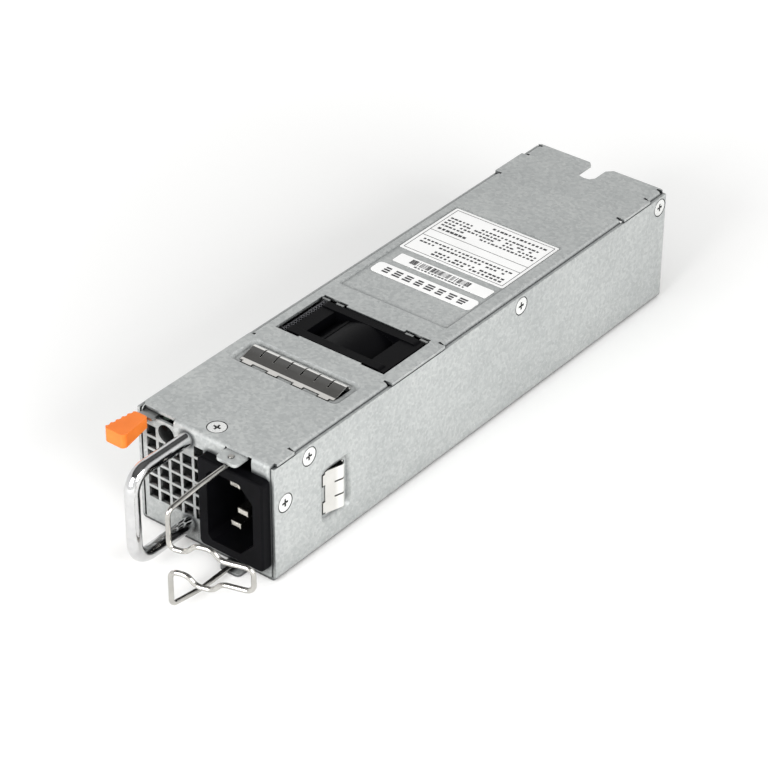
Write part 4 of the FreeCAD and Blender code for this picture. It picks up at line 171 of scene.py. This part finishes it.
def platedSteel(name, **changes):  # plated or bare metal: a soft even sheen with a faint grain
    look = {"grain": 0.25, "haze": 6.0, "metallic": 1.0, "depth": 0.01, "strength": 0.3, "edge": 0.1,
            "recess": None}
    look.update(changes)
    material, tree, shader = newMaterial(name, {"Metallic": look["metallic"]})
    point = objectPoint(tree)
    grain = addNode(tree, "ShaderNodeTexNoise", {"Scale": 1 / look["grain"]},
                    {"Vector": point}).outputs["Fac"]
    tone, _ = driftingTone(tree, point, look["tones"], look["haze"])
    # painted shade in the recess, when one is given
    if look["recess"]:
        tone = paintedOcclusionShade(tree, tone, look["recess"])
    dressShader(tree, shader, tone, grain, grain, look)
    return material


def tinnedStrip():  # tin-plated spring strip, with a painted highlight along the crests that rub in the slot
    # crest is the colour of the painted highlight; its band gives the mm below the crest where it begins and
    # where it is full
    look = {"tones": ("#e0deda", "#ebe9e5"), "crest": "#fbfaf7", "paintedHighlightBand": (0.75, 0.35), "haze": 6.0,
            "grain": 0.25, "roughness": (0.08, 0.17), "depth": 0.01, "strength": 0.3, "edge": 0.1}
    material, tree, shader = newMaterial("brightTinnedSpringStrip", {"Metallic": 1.0})
    point = objectPoint(tree)
    tone, _ = driftingTone(tree, point, look["tones"], look["haze"])
    split = addNode(tree, "ShaderNodeSeparateXYZ", None, {"Vector": point})
    near = []  # how close a point is to each strip's crest
    for axis, name in (("Z", "top_finger_strip"), ("X", "side_finger_strip")):
        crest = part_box(name)[1]["XYZ".index(axis)] / mm
        begins, ends = (crest - below for below in look["paintedHighlightBand"])
        near.append(addNode(tree, "ShaderNodeMapRange", {"From Min": begins, "From Max": ends},
                            {"Value": split.outputs[axis]}).outputs["Result"])
    # painted highlight: the colour turns to the crest colour towards each strip's crest
    paintedHighlightBand = addNode(tree, "ShaderNodeMath", {"operation": "MAXIMUM"}, {0: near[0], 1: near[1]})
    mixed = addNode(tree, "ShaderNodeMix", {"data_type": "RGBA", 7: linearColor(look["crest"])},
                    {0: paintedHighlightBand.outputs[0], 6: tone})
    grain = addNode(tree, "ShaderNodeTexNoise", {"Scale": 1 / look["grain"]},
                    {"Vector": point}).outputs["Fac"]
    dressShader(tree, shader, mixed.outputs[2], grain, grain, look)
    return material


def chromePlate():  # polished bar under bright chrome: sharp dark and light bands along its length
    look = {"tones": ("#d2d2d3", "#e2e2e2"), "wear": 3.0, "roughness": (0.05, 0.12), "depth": 0.01,
            "strength": 0.1, "edge": 0.5}
    material, tree, shader = newMaterial("chromePlatedSteel", {"Metallic": 1.0})
    tone, wear = driftingTone(tree, objectPoint(tree), look["tones"], look["wear"], detail=4.0, breakUp=0.6)
    dressShader(tree, shader, tone, wear, wear, look)
    return material


# moulded, drawn or printed plastic: an even tone with a satin grain. A mould's own grain is near 0.05 mm,
# too fine to show, so it is drawn coarser
def mouldedPlastic(name, **changes):
    look = {"grain": 0.3, "shade": 8.0, "depth": 0.004, "strength": 0.5, "edge": 0.12, "specular": 0.5}
    look.update(changes)
    material, tree, shader = newMaterial(name, {"Specular IOR Level": look["specular"], "IOR": 1.5})
    point = objectPoint(tree)
    grain = addNode(tree, "ShaderNodeTexNoise", {"Scale": 1 / look["grain"]},
                    {"Vector": point}).outputs["Fac"]
    tone, _ = driftingTone(tree, point, look["tones"], look["shade"])
    dressShader(tree, shader, tone, grain, grain, look)
    return material


def labelFilm():  # white polyester film under a satin varnish, with a slight cockle from the press
    look = {"tones": ("#f6f6f5", "#fbfbfa"), "cockle": 10.0, "fibre": 0.6, "roughness": (0.4, 0.55),
            "depth": 0.05, "strength": 0.2, "edge": 0.0}
    material, tree, shader = newMaterial("whitePolyesterLabel", {"IOR": 1.5})
    point = objectPoint(tree)
    fibre = addNode(tree, "ShaderNodeTexNoise", {"Scale": 1 / look["fibre"]}, {"Vector": point})
    tone, cockle = driftingTone(tree, point, look["tones"], look["cockle"])
    dressShader(tree, shader, tone, fibre.outputs["Fac"], cockle, look)
    return material


# painted shade inside the cross of a screw head
crossRecessShade = {"reach": 0.9, "darkest": "#2c2c2c", "closed": 0.6, "clear": 0.95}
finishes = {
    "zinc_sheet": zincSheet(),
    "screw_steel": platedSteel(  # bright zinc, near white beside the sheet
        "zincPlatedScrewSteel", tones=("#e6e7e5", "#f4f5f3"), roughness=(0.24, 0.36), metallic=0.5,
        recess=crossRecessShade),
    "handle_chrome": chromePlate(),
    "spring_wire": platedSteel(  # drawn wire: one clean highlight along each bend
        "hardDrawnSpringWire", tones=("#b4b2ae", "#cfcdc8"), roughness=(0.16, 0.22), grain=3.0, edge=0.35),
    "latch_steel": platedSteel(  # pressed and plated: a duller grey than the screws
        "zincPlatedPressedSteel", tones=("#a3a5a4", "#bdbfbe"), roughness=(0.26, 0.42)),
    "orange_cap": mouldedPlastic(  # a bright satin orange that marks what to press
        "orangePolypropylene", tones=("#e67320", "#f4832c"), roughness=(0.42, 0.56), grain=0.25, depth=0.02),
    "black_moulding": mouldedPlastic(  # a dull deep black that hardly reflects
        "blackGlassFilledNylon", tones=("#08080a", "#0d0d10"), roughness=(0.46, 0.6), grain=0.2, depth=0.02,
        specular=0.06),
    "blade_metal": platedSteel(  # warm pale pins, light against the socket
        "nickelPlatedBrass", tones=("#c6c2b9", "#dcd9d2"), roughness=(0.16, 0.26)),
    "light_lens": mouldedPlastic(  # a small dark lens with one soft glint
        "smokedPolycarbonate", tones=("#040505", "#080909"), roughness=(0.2, 0.26), grain=0.4, depth=0.002,
        specular=0.05),
    "contact_fingers": tinnedStrip(),
    "fan_plastic": mouldedPlastic(  # the deepest black, with a weak satin light on the blades
        "blackGlassFilledPbt", tones=("#040406", "#070709"), roughness=(0.36, 0.5), grain=0.2, depth=0.015,
        specular=0.08),
    "label_paper": labelFilm(),
    "board_green": mouldedPlastic(  # lacquer over copper: an even glossy green
        "greenSolderMask", tones=("#0f4a2c", "#145a36"), roughness=(0.25, 0.35)),
    "gold_contact": platedSteel(  # flat yellow pads with a soft shine
        "goldPlatedCopper", tones=("#caa04a", "#d9b15c"), roughness=(0.18, 0.28)),
    "capacitor_sleeve": mouldedPlastic(  # shrunk film: smooth, black and a little glossy
        "blackShrinkSleeve", tones=("#17171b", "#222227"), roughness=(0.22, 0.32)),
    "ferrite": mouldedPlastic(  # pressed and fired: a dry dark grey
        "sinteredFerrite", tones=("#2b2b2e", "#38383b"), roughness=(0.6, 0.75), grain=0.15, depth=0.03),
    "winding_tape": mouldedPlastic(  # tight yellow film round the winding
        "yellowPolyesterTape", tones=("#c9a21e", "#d9b22c"), roughness=(0.25, 0.35)),
    "sink_aluminium": platedSteel(  # bare rolled plate: a light even grey
        "millFinishAluminium", tones=("#a9abad", "#bcbec0"), roughness=(0.30, 0.42)),
    "insulator": mouldedPlastic(  # a plain black sheet under the board
        "blackPolypropyleneFilm", tones=("#1b1b1b", "#242424"), roughness=(0.4, 0.5), grain=0.2, depth=0.01),
    "motor_iron": platedSteel(  # stacked stampings: dark, dull iron
        "laminatedMotorIron", tones=("#5b5b5d", "#6d6d6f"), roughness=(0.4, 0.55), grain=0.2, metallic=0.9),
}
inks = {
    "labelInk": mouldedPlastic(  # flat dark grey print with no shine of its own
        "greyPrintingInk", tones=("#363638", "#454547"), roughness=(0.5, 0.6), depth=0.002, specular=0.3),
    "braidYarn": mouldedPlastic(  # grey strands that stand out on the black sleeve
        "greyPolyesterYarn", tones=("#3e3e42", "#78787c"), roughness=(0.5, 0.65), grain=0.2, depth=0.01),
}
slotOf = {part["node"]: part["material_slot"] for part in frame["record"]["subparts"]}
for name, piece in nodes.items():
    piece.data.materials.clear()
    piece.data.materials.append(finishes[slotOf[name]])
print("materials made:", len(finishes) + len(inks))


def newGeometryTree(name, inputs):  # each input's name and kind; gives the tree and those inputs' sockets
    tree = bpy.data.node_groups.new(name, "GeometryNodeTree")
    for label, kind in inputs.items():
        tree.interface.new_socket(label, in_out="INPUT", socket_type="NodeSocket" + kind)
    tree.interface.new_socket("Geometry", in_out="OUTPUT", socket_type="NodeSocketGeometry")
    return tree, addNode(tree, "NodeGroupInput").outputs


def closeTree(tree, geometry, material):  # every tree ends in Realize Instances and Set Material
    real = addNode(tree, "GeometryNodeRealizeInstances", None, {"Geometry": geometry})
    dressed = addNode(tree, "GeometryNodeSetMaterial", None,
                      {"Geometry": real.outputs[0], "Material": material})
    addNode(tree, "NodeGroupOutput", None, {"Geometry": dressed.outputs[0]})


def meshFromTree(tree, values):  # runs a tree with these input values and gives a plain mesh
    empty = bpy.data.meshes.new("holder")
    holder = bpy.data.objects.new("holder", empty)
    scene.collection.objects.link(holder)
    modifier = holder.modifiers.new("build", "NODES")
    modifier.node_group = tree
    for socket in tree.interface.items_tree:
        if socket.in_out == "INPUT":
            modifier[socket.identifier] = values[socket.name]
    made = bpy.data.meshes.new_from_object(holder.evaluated_get(bpy.context.evaluated_depsgraph_get()))
    bpy.data.objects.remove(holder)
    bpy.data.meshes.remove(empty)
    return made


def joinedPiece(name, parts, body):  # one object from several meshes, riding on a body
    shape = bmesh.new()
    materials = []
    for part in parts:
        first = len(shape.faces)
        shape.from_mesh(part)
        shape.faces.ensure_lookup_table()
        for face in shape.faces[first:]:  # only a material that some face wears gets a slot
            material = part.materials[face.material_index]
            if material not in materials:
                materials.append(material)
            face.material_index = materials.index(material)
        bpy.data.meshes.remove(part)
    mesh = bpy.data.meshes.new(name)
    shape.to_mesh(mesh)
    shape.free()
    for material in materials:
        mesh.materials.append(material)
    piece = bpy.data.objects.new(name, mesh)
    scene.collection.objects.link(piece)
    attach(piece, body)


def barTree():  # rows of bars of uneven length on a grid, for lines of mock print and bar strips
    tree, given = newGeometryTree("printedBars", {
        "columns": "Int", "rows": "Int", "columnPitch": "Float", "rowPitch": "Float", "barHeight": "Float",
        "shortest": "Float", "longest": "Float", "kept": "Float", "thickness": "Float", "place": "Vector",
        "seed": "Int", "ink": "Material"})
    sides = {}
    for side, count, pitch in (("Size X", "columns", "columnPitch"), ("Size Y", "rows", "rowPitch")):
        steps = addNode(tree, "ShaderNodeMath", {"operation": "SUBTRACT", 1: 1.0}, {0: given[count]})
        reach = addNode(tree, "ShaderNodeMath", {"operation": "MULTIPLY"},
                        {0: steps.outputs[0], 1: given[pitch]})
        sides[side] = reach.outputs[0]
    grid = addNode(tree, "GeometryNodeMeshGrid", None,
                   {**sides, "Vertices X": given["columns"], "Vertices Y": given["rows"]})
    share = addNode(tree, "FunctionNodeRandomValue", {"data_type": "FLOAT"},
                    {2: given["shortest"], 3: given["longest"], "Seed": given["seed"]})
    chance = addNode(tree, "FunctionNodeRandomValue", {"data_type": "BOOLEAN"},
                     {"Probability": given["kept"], "Seed": given["seed"]})
    length = addNode(tree, "ShaderNodeMath", {"operation": "MULTIPLY"},
                     {0: share.outputs[1], 1: given["columnPitch"]})
    size = addNode(tree, "ShaderNodeCombineXYZ", None,
                   {"X": length.outputs[0], "Y": given["barHeight"], "Z": given["thickness"]})
    bar = addNode(tree, "GeometryNodeMeshCube", {"Size": (1, 1, 1)})
    bars = addNode(tree, "GeometryNodeInstanceOnPoints", None, {
        "Points": grid.outputs["Mesh"], "Selection": chance.outputs[3], "Instance": bar.outputs["Mesh"],
        "Scale": size.outputs[0]})
    moved = addNode(tree, "GeometryNodeTransform", None,
                    {"Geometry": bars.outputs[0], "Translation": given["place"]})
    closeTree(tree, moved.outputs[0], given["ink"])
    return tree


def labelPrint():  # plain bars and rules where the labels carry print; nothing on them can be read
    look = {
        "rise": 0.02, "ruleWidth": 0.22, "margin": 1.1, "rulesBehind": (-0.4, -4.4), "firstSeed": 3,
        "usual": {"rows": 1, "rowPitch": 1.0, "shortest": 0.45, "longest": 0.9, "kept": 0.9},
        "solid": {"columns": 1, "shortest": 1.0, "longest": 1.0, "kept": 1.0},
        "blocks": (  # the label, mm to the right of its middle, mm behind it, and the rows of bars there
            ("rating_label", 7.0, 11.6, {"columns": 14, "columnPitch": 1.5, "barHeight": 0.95, "kept": 1.0}),
            ("rating_label", 0.0, 6.4, {"columns": 24, "columnPitch": 1.5, "rows": 4, "rowPitch": 1.7,
                                        "barHeight": 0.8, "kept": 0.8}),
            ("rating_label", -12.0, 1.6, {"columns": 7, "columnPitch": 1.6, "barHeight": 1.1, "kept": 1.0}),
            ("rating_label", 0.0, -7.2, {"columns": 23, "columnPitch": 1.5, "rows": 2, "rowPitch": 1.8,
                                         "barHeight": 0.8, "kept": 0.85}),
            ("rating_label", 4.0, -11.6, {"columns": 17, "columnPitch": 1.6, "rows": 2, "rowPitch": 1.6,
                                          "barHeight": 0.85, "kept": 0.85}),
            ("strip_label", -1.0, 0.5, {"columns": 56, "columnPitch": 0.42, "barHeight": 2.6,
                                        "shortest": 0.25, "longest": 0.95, "kept": 0.8}),
            ("strip_label", -1.0, -1.6, {"columns": 16, "columnPitch": 1.3, "barHeight": 0.6}),
            ("note_label", 0.0, 0.0, {"columns": 8, "columnPitch": 4.1, "rows": 3, "rowPitch": 1.2,
                                      "barHeight": 0.75, "longest": 0.75, "kept": 1.0}),
        ),
    }
    tree = barTree()
    parts = []

    def addBars(label, aside, behind, values):
        low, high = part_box(label)
        middle = (low + high) / 2
        given = {**look["usual"], **values}
        for key in ("columnPitch", "rowPitch", "barHeight"):
            given[key] *= mm
        given["place"] = (middle.x + aside * mm, middle.y + behind * mm, high.z + look["rise"] * mm / 2)
        given["thickness"] = look["rise"] * mm
        given["ink"] = inks["labelInk"]
        given["seed"] = len(parts) + look["firstSeed"]
        parts.append(meshFromTree(tree, given))

    low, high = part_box("rating_label")
    halfWide, halfLong = ((high[axis] - low[axis]) / mm / 2 - look["margin"] for axis in (0, 1))
    across = {**look["solid"], "columnPitch": 2 * halfWide, "barHeight": look["ruleWidth"]}
    along = {**look["solid"], "columnPitch": look["ruleWidth"], "barHeight": 2 * halfLong}
    for behind in (halfLong, *look["rulesBehind"], -halfLong):
        addBars("rating_label", 0.0, behind, across)
    for aside in (-halfWide, halfWide):
        addBars("rating_label", aside, 0.0, along)
    for label, aside, behind, values in look["blocks"]:
        addBars(label, aside, behind, values)
    joinedPiece("labelPrint", parts, "case")


def sleeveTree():  # strands wound both ways round a core: a braided lead sleeve
    tree, given = newGeometryTree("braidedSleeve", {
        "strands": "Int", "turns": "Float", "radius": "Float", "length": "Float", "strandRadius": "Float",
        "stepsPerTurn": "Int", "strandSides": "Int", "place": "Vector", "yarn": "Material"})
    number = addNode(tree, "GeometryNodeInputIndex")
    turn = addNode(tree, "ShaderNodeMath", {"operation": "DIVIDE", 0: 2 * math.pi}, {1: given["strands"]})
    angle = addNode(tree, "ShaderNodeMath", {"operation": "MULTIPLY"},
                    {0: number.outputs[0], 1: turn.outputs[0]})
    heading = addNode(tree, "ShaderNodeCombineXYZ", None, {"Z": angle.outputs[0]})
    starts = addNode(tree, "GeometryNodeMeshLine", {"Offset": (0, 0, 0)}, {"Count": given["strands"]})
    joined = addNode(tree, "GeometryNodeJoinGeometry")
    for backwards in (False, True):
        helix = addNode(tree, "GeometryNodeCurveSpiral", {"Reverse": backwards}, {
            "Resolution": given["stepsPerTurn"], "Rotations": given["turns"], "Start Radius": given["radius"],
            "End Radius": given["radius"], "Height": given["length"]})
        wound = addNode(tree, "GeometryNodeInstanceOnPoints", None, {
            "Points": starts.outputs[0], "Instance": helix.outputs[0], "Rotation": heading.outputs[0]})
        tree.links.new(wound.outputs[0], joined.inputs[0])
    real = addNode(tree, "GeometryNodeRealizeInstances", None, {"Geometry": joined.outputs[0]})
    section = addNode(tree, "GeometryNodeCurvePrimitiveCircle", None,
                      {"Resolution": given["strandSides"], "Radius": given["strandRadius"]})
    strands = addNode(tree, "GeometryNodeCurveToMesh", {"Fill Caps": True},
                      {"Curve": real.outputs[0], "Profile Curve": section.outputs[0]})
    # wound upright, then laid along Y
    laid = addNode(tree, "GeometryNodeTransform", {"Rotation": (-math.pi / 2, 0, 0)},
                   {"Geometry": strands.outputs[0], "Translation": given["place"]})
    closeTree(tree, laid.outputs[0], given["yarn"])
    return tree


def coreMesh(middle, radius, length, sides):  # a closed bar along Y, the dark leads inside the braid
    shape = bmesh.new()
    place = Matrix.Translation(middle) @ Matrix.Rotation(math.pi / 2, 4, "X")
    bmesh.ops.create_cone(shape, cap_ends=True, segments=sides, radius1=radius, radius2=radius, depth=length,
                          matrix=place)
    mesh = bpy.data.meshes.new("leadCore")
    shape.to_mesh(mesh)
    shape.free()
    mesh.materials.append(finishes["fan_plastic"])
    return mesh


def leadSleeve():  # the fan's leads in their braided sleeve, in the groove of the frame's upper left corner
    look = {"radius": 1.0, "strand": 0.06, "strands": 5, "turnsPerMm": 0.17, "fromLeft": 1.25,
            "fromTop": 1.25, "stepsPerTurn": 14, "strandSides": 5, "coreSides": 24}
    low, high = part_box("fan_frame")
    length = high.y - low.y
    middle = Vector((low.x + look["fromLeft"] * mm, (low.y + high.y) / 2, high.z - look["fromTop"] * mm))
    braid = meshFromTree(sleeveTree(), {
        "strands": look["strands"], "turns": look["turnsPerMm"] * length / mm, "radius": look["radius"] * mm,
        "length": length, "strandRadius": look["strand"] * mm, "stepsPerTurn": look["stepsPerTurn"],
        "strandSides": look["strandSides"], "place": (middle.x, low.y, middle.z), "yarn": inks["braidYarn"]})
    core = coreMesh(middle, (look["radius"] - look["strand"] / 2) * mm, length, look["coreSides"])
    joinedPiece("fanLeadSleeve", [braid, core], "case")


labelPrint()
leadSleeve()
print("label print and lead sleeve made")


def paperFloor():  # matt white paper: white to the eye further out, and it keeps the shadow near the object
    # half, drop and the two distances over which the lift grows are in metres
    look = {"colour": "#f4f4f3", "half": 3.0, "drop": 0.0002,
            "lift": (0.08, 0.5), "liftFrom": 0.1, "liftTo": 0.45}
    half = look["half"]
    mesh = bpy.data.meshes.new("studioFloor")
    corners = [(-half, -half, 0), (half, -half, 0), (half, half, 0), (-half, half, 0)]
    mesh.from_pydata(corners, [], [(0, 1, 2, 3)])
    floor = bpy.data.objects.new("studioFloor", mesh)
    floor.location.z = cadBox[0][2] - look["drop"]
    scene.collection.objects.link(floor)
    material, tree, shader = newMaterial("whitePaperFloor", {
        "Roughness": 0.9, "Base Color": linearColor(look["colour"]), "Specular IOR Level": 0.1,
        "Emission Color": (1, 1, 1, 1)})
    coords = addNode(tree, "ShaderNodeTexCoord")
    away = addNode(tree, "ShaderNodeVectorMath", {"operation": "LENGTH"}, {0: coords.outputs["Object"]})
    white = addNode(tree, "ShaderNodeMapRange", {
        "From Min": look["liftFrom"], "From Max": look["liftTo"],
        "To Min": look["lift"][0], "To Max": look["lift"][1]}, {"Value": away.outputs["Value"]})
    paths = addNode(tree, "ShaderNodeLightPath")
    lift = addNode(tree, "ShaderNodeMath", {"operation": "MULTIPLY"},
                   {0: paths.outputs["Is Camera Ray"], 1: white.outputs[0]})
    tree.links.new(lift.outputs[0], shader.inputs["Emission Strength"])
    mesh.materials.append(material)


def studioWorld():  # white behind the object; metal mirrors white walls low down and a dim ceiling above
    look = {"dim": 0.62, "mirrored": [  # the mirrored tones from level to straight up
        (0.0, "#ffffff"), (0.4, "#f2f2f2"), (0.59, "#e6e6e6"), (0.65, "#343434"), (0.8, "#5c5c5c"),
        (0.95, "#686868")]}
    world = bpy.data.worlds.new("studio")
    scene.world = world
    world.use_nodes = True
    tree = world.node_tree
    tree.nodes.clear()
    paths = addNode(tree, "ShaderNodeLightPath")
    seen = addNode(tree, "ShaderNodeMath", {"operation": "MAXIMUM"},
                   {0: paths.outputs["Is Camera Ray"], 1: paths.outputs["Is Transmission Ray"]})
    way = addNode(tree, "ShaderNodeTexCoord")
    height = addNode(tree, "ShaderNodeSeparateXYZ", None, {"Vector": way.outputs["Generated"]})
    ceiling = addNode(tree, "ShaderNodeValToRGB", {"stops": look["mirrored"]}, {"Fac": height.outputs["Z"]})
    dim = addNode(tree, "ShaderNodeBackground", {"Color": (1, 1, 1, 1), "Strength": look["dim"]})
    mirrored = addNode(tree, "ShaderNodeBackground", {"Strength": 1.0}, {"Color": ceiling.outputs["Color"]})
    white = addNode(tree, "ShaderNodeBackground", {"Color": (1, 1, 1, 1), "Strength": 1.0})
    glossy = addNode(tree, "ShaderNodeMixShader", None,
                     {"Fac": paths.outputs["Is Glossy Ray"], 1: dim.outputs[0], 2: mirrored.outputs[0]})
    mixed = addNode(tree, "ShaderNodeMixShader", None,
                    {"Fac": seen.outputs[0], 1: glossy.outputs[0], 2: white.outputs[0]})
    addNode(tree, "ShaderNodeOutputWorld", None, {"Surface": mixed.outputs[0]})


lamps = {  # metres and watts; each lamp faces its target
    "sideSoftbox": {"place": (0.78, -0.2, 0.4), "target": (0, 0, 0), "width": 0.5, "height": 0.4,
                    "watts": 4.8},
    "frontSoftbox": {"place": (0.02, -0.6, 0.28), "target": (0, -0.1, 0.02), "width": 0.3, "height": 0.3,
                     "watts": 2.6},
}


def softbox(name, look):
    data = bpy.data.lights.new(name, "AREA")
    data.shape, data.energy = "RECTANGLE", look["watts"]
    data.size, data.size_y = look["width"], look["height"]
    lamp = bpy.data.objects.new(name, data)
    lamp.location = look["place"]
    lamp.rotation_euler = (Vector(look["target"]) - lamp.location).to_track_quat("-Z", "Y").to_euler()
    scene.collection.objects.link(lamp)


def placeCamera():  # right of the front, looking down; angles in degrees, lens in mm and place in metres
    view = {"turn": 38.116, "rise": 33.881, "roll": 0.30, "lens": 133.92, "sensor": 36.0,
            "place": (0.44612, -0.58454, 0.49960), "near": 0.01, "far": 20.0}
    turn, rise, roll = (math.radians(view[key]) for key in ("turn", "rise", "roll"))
    back = Vector((math.sin(turn) * math.cos(rise), -math.cos(turn) * math.cos(rise), math.sin(rise)))
    side = (-back).cross(Vector((0, 0, 1))).normalized()
    top = side.cross(-back)
    right = side * math.cos(roll) + top * math.sin(roll)
    up = top * math.cos(roll) - side * math.sin(roll)
    data = bpy.data.cameras.new("camera")
    data.lens, data.sensor_width = view["lens"], view["sensor"]
    data.clip_start, data.clip_end = view["near"], view["far"]
    eye = bpy.data.objects.new("camera", data)
    eye.matrix_world = Matrix((right, up, back)).transposed().to_4x4()
    eye.location = view["place"]
    scene.collection.objects.link(eye)
    scene.camera = eye


paperFloor()
studioWorld()
for name, look in lamps.items():
    softbox(name, look)
placeCamera()
scene.view_settings.view_transform = "Standard"
print("studio ready")
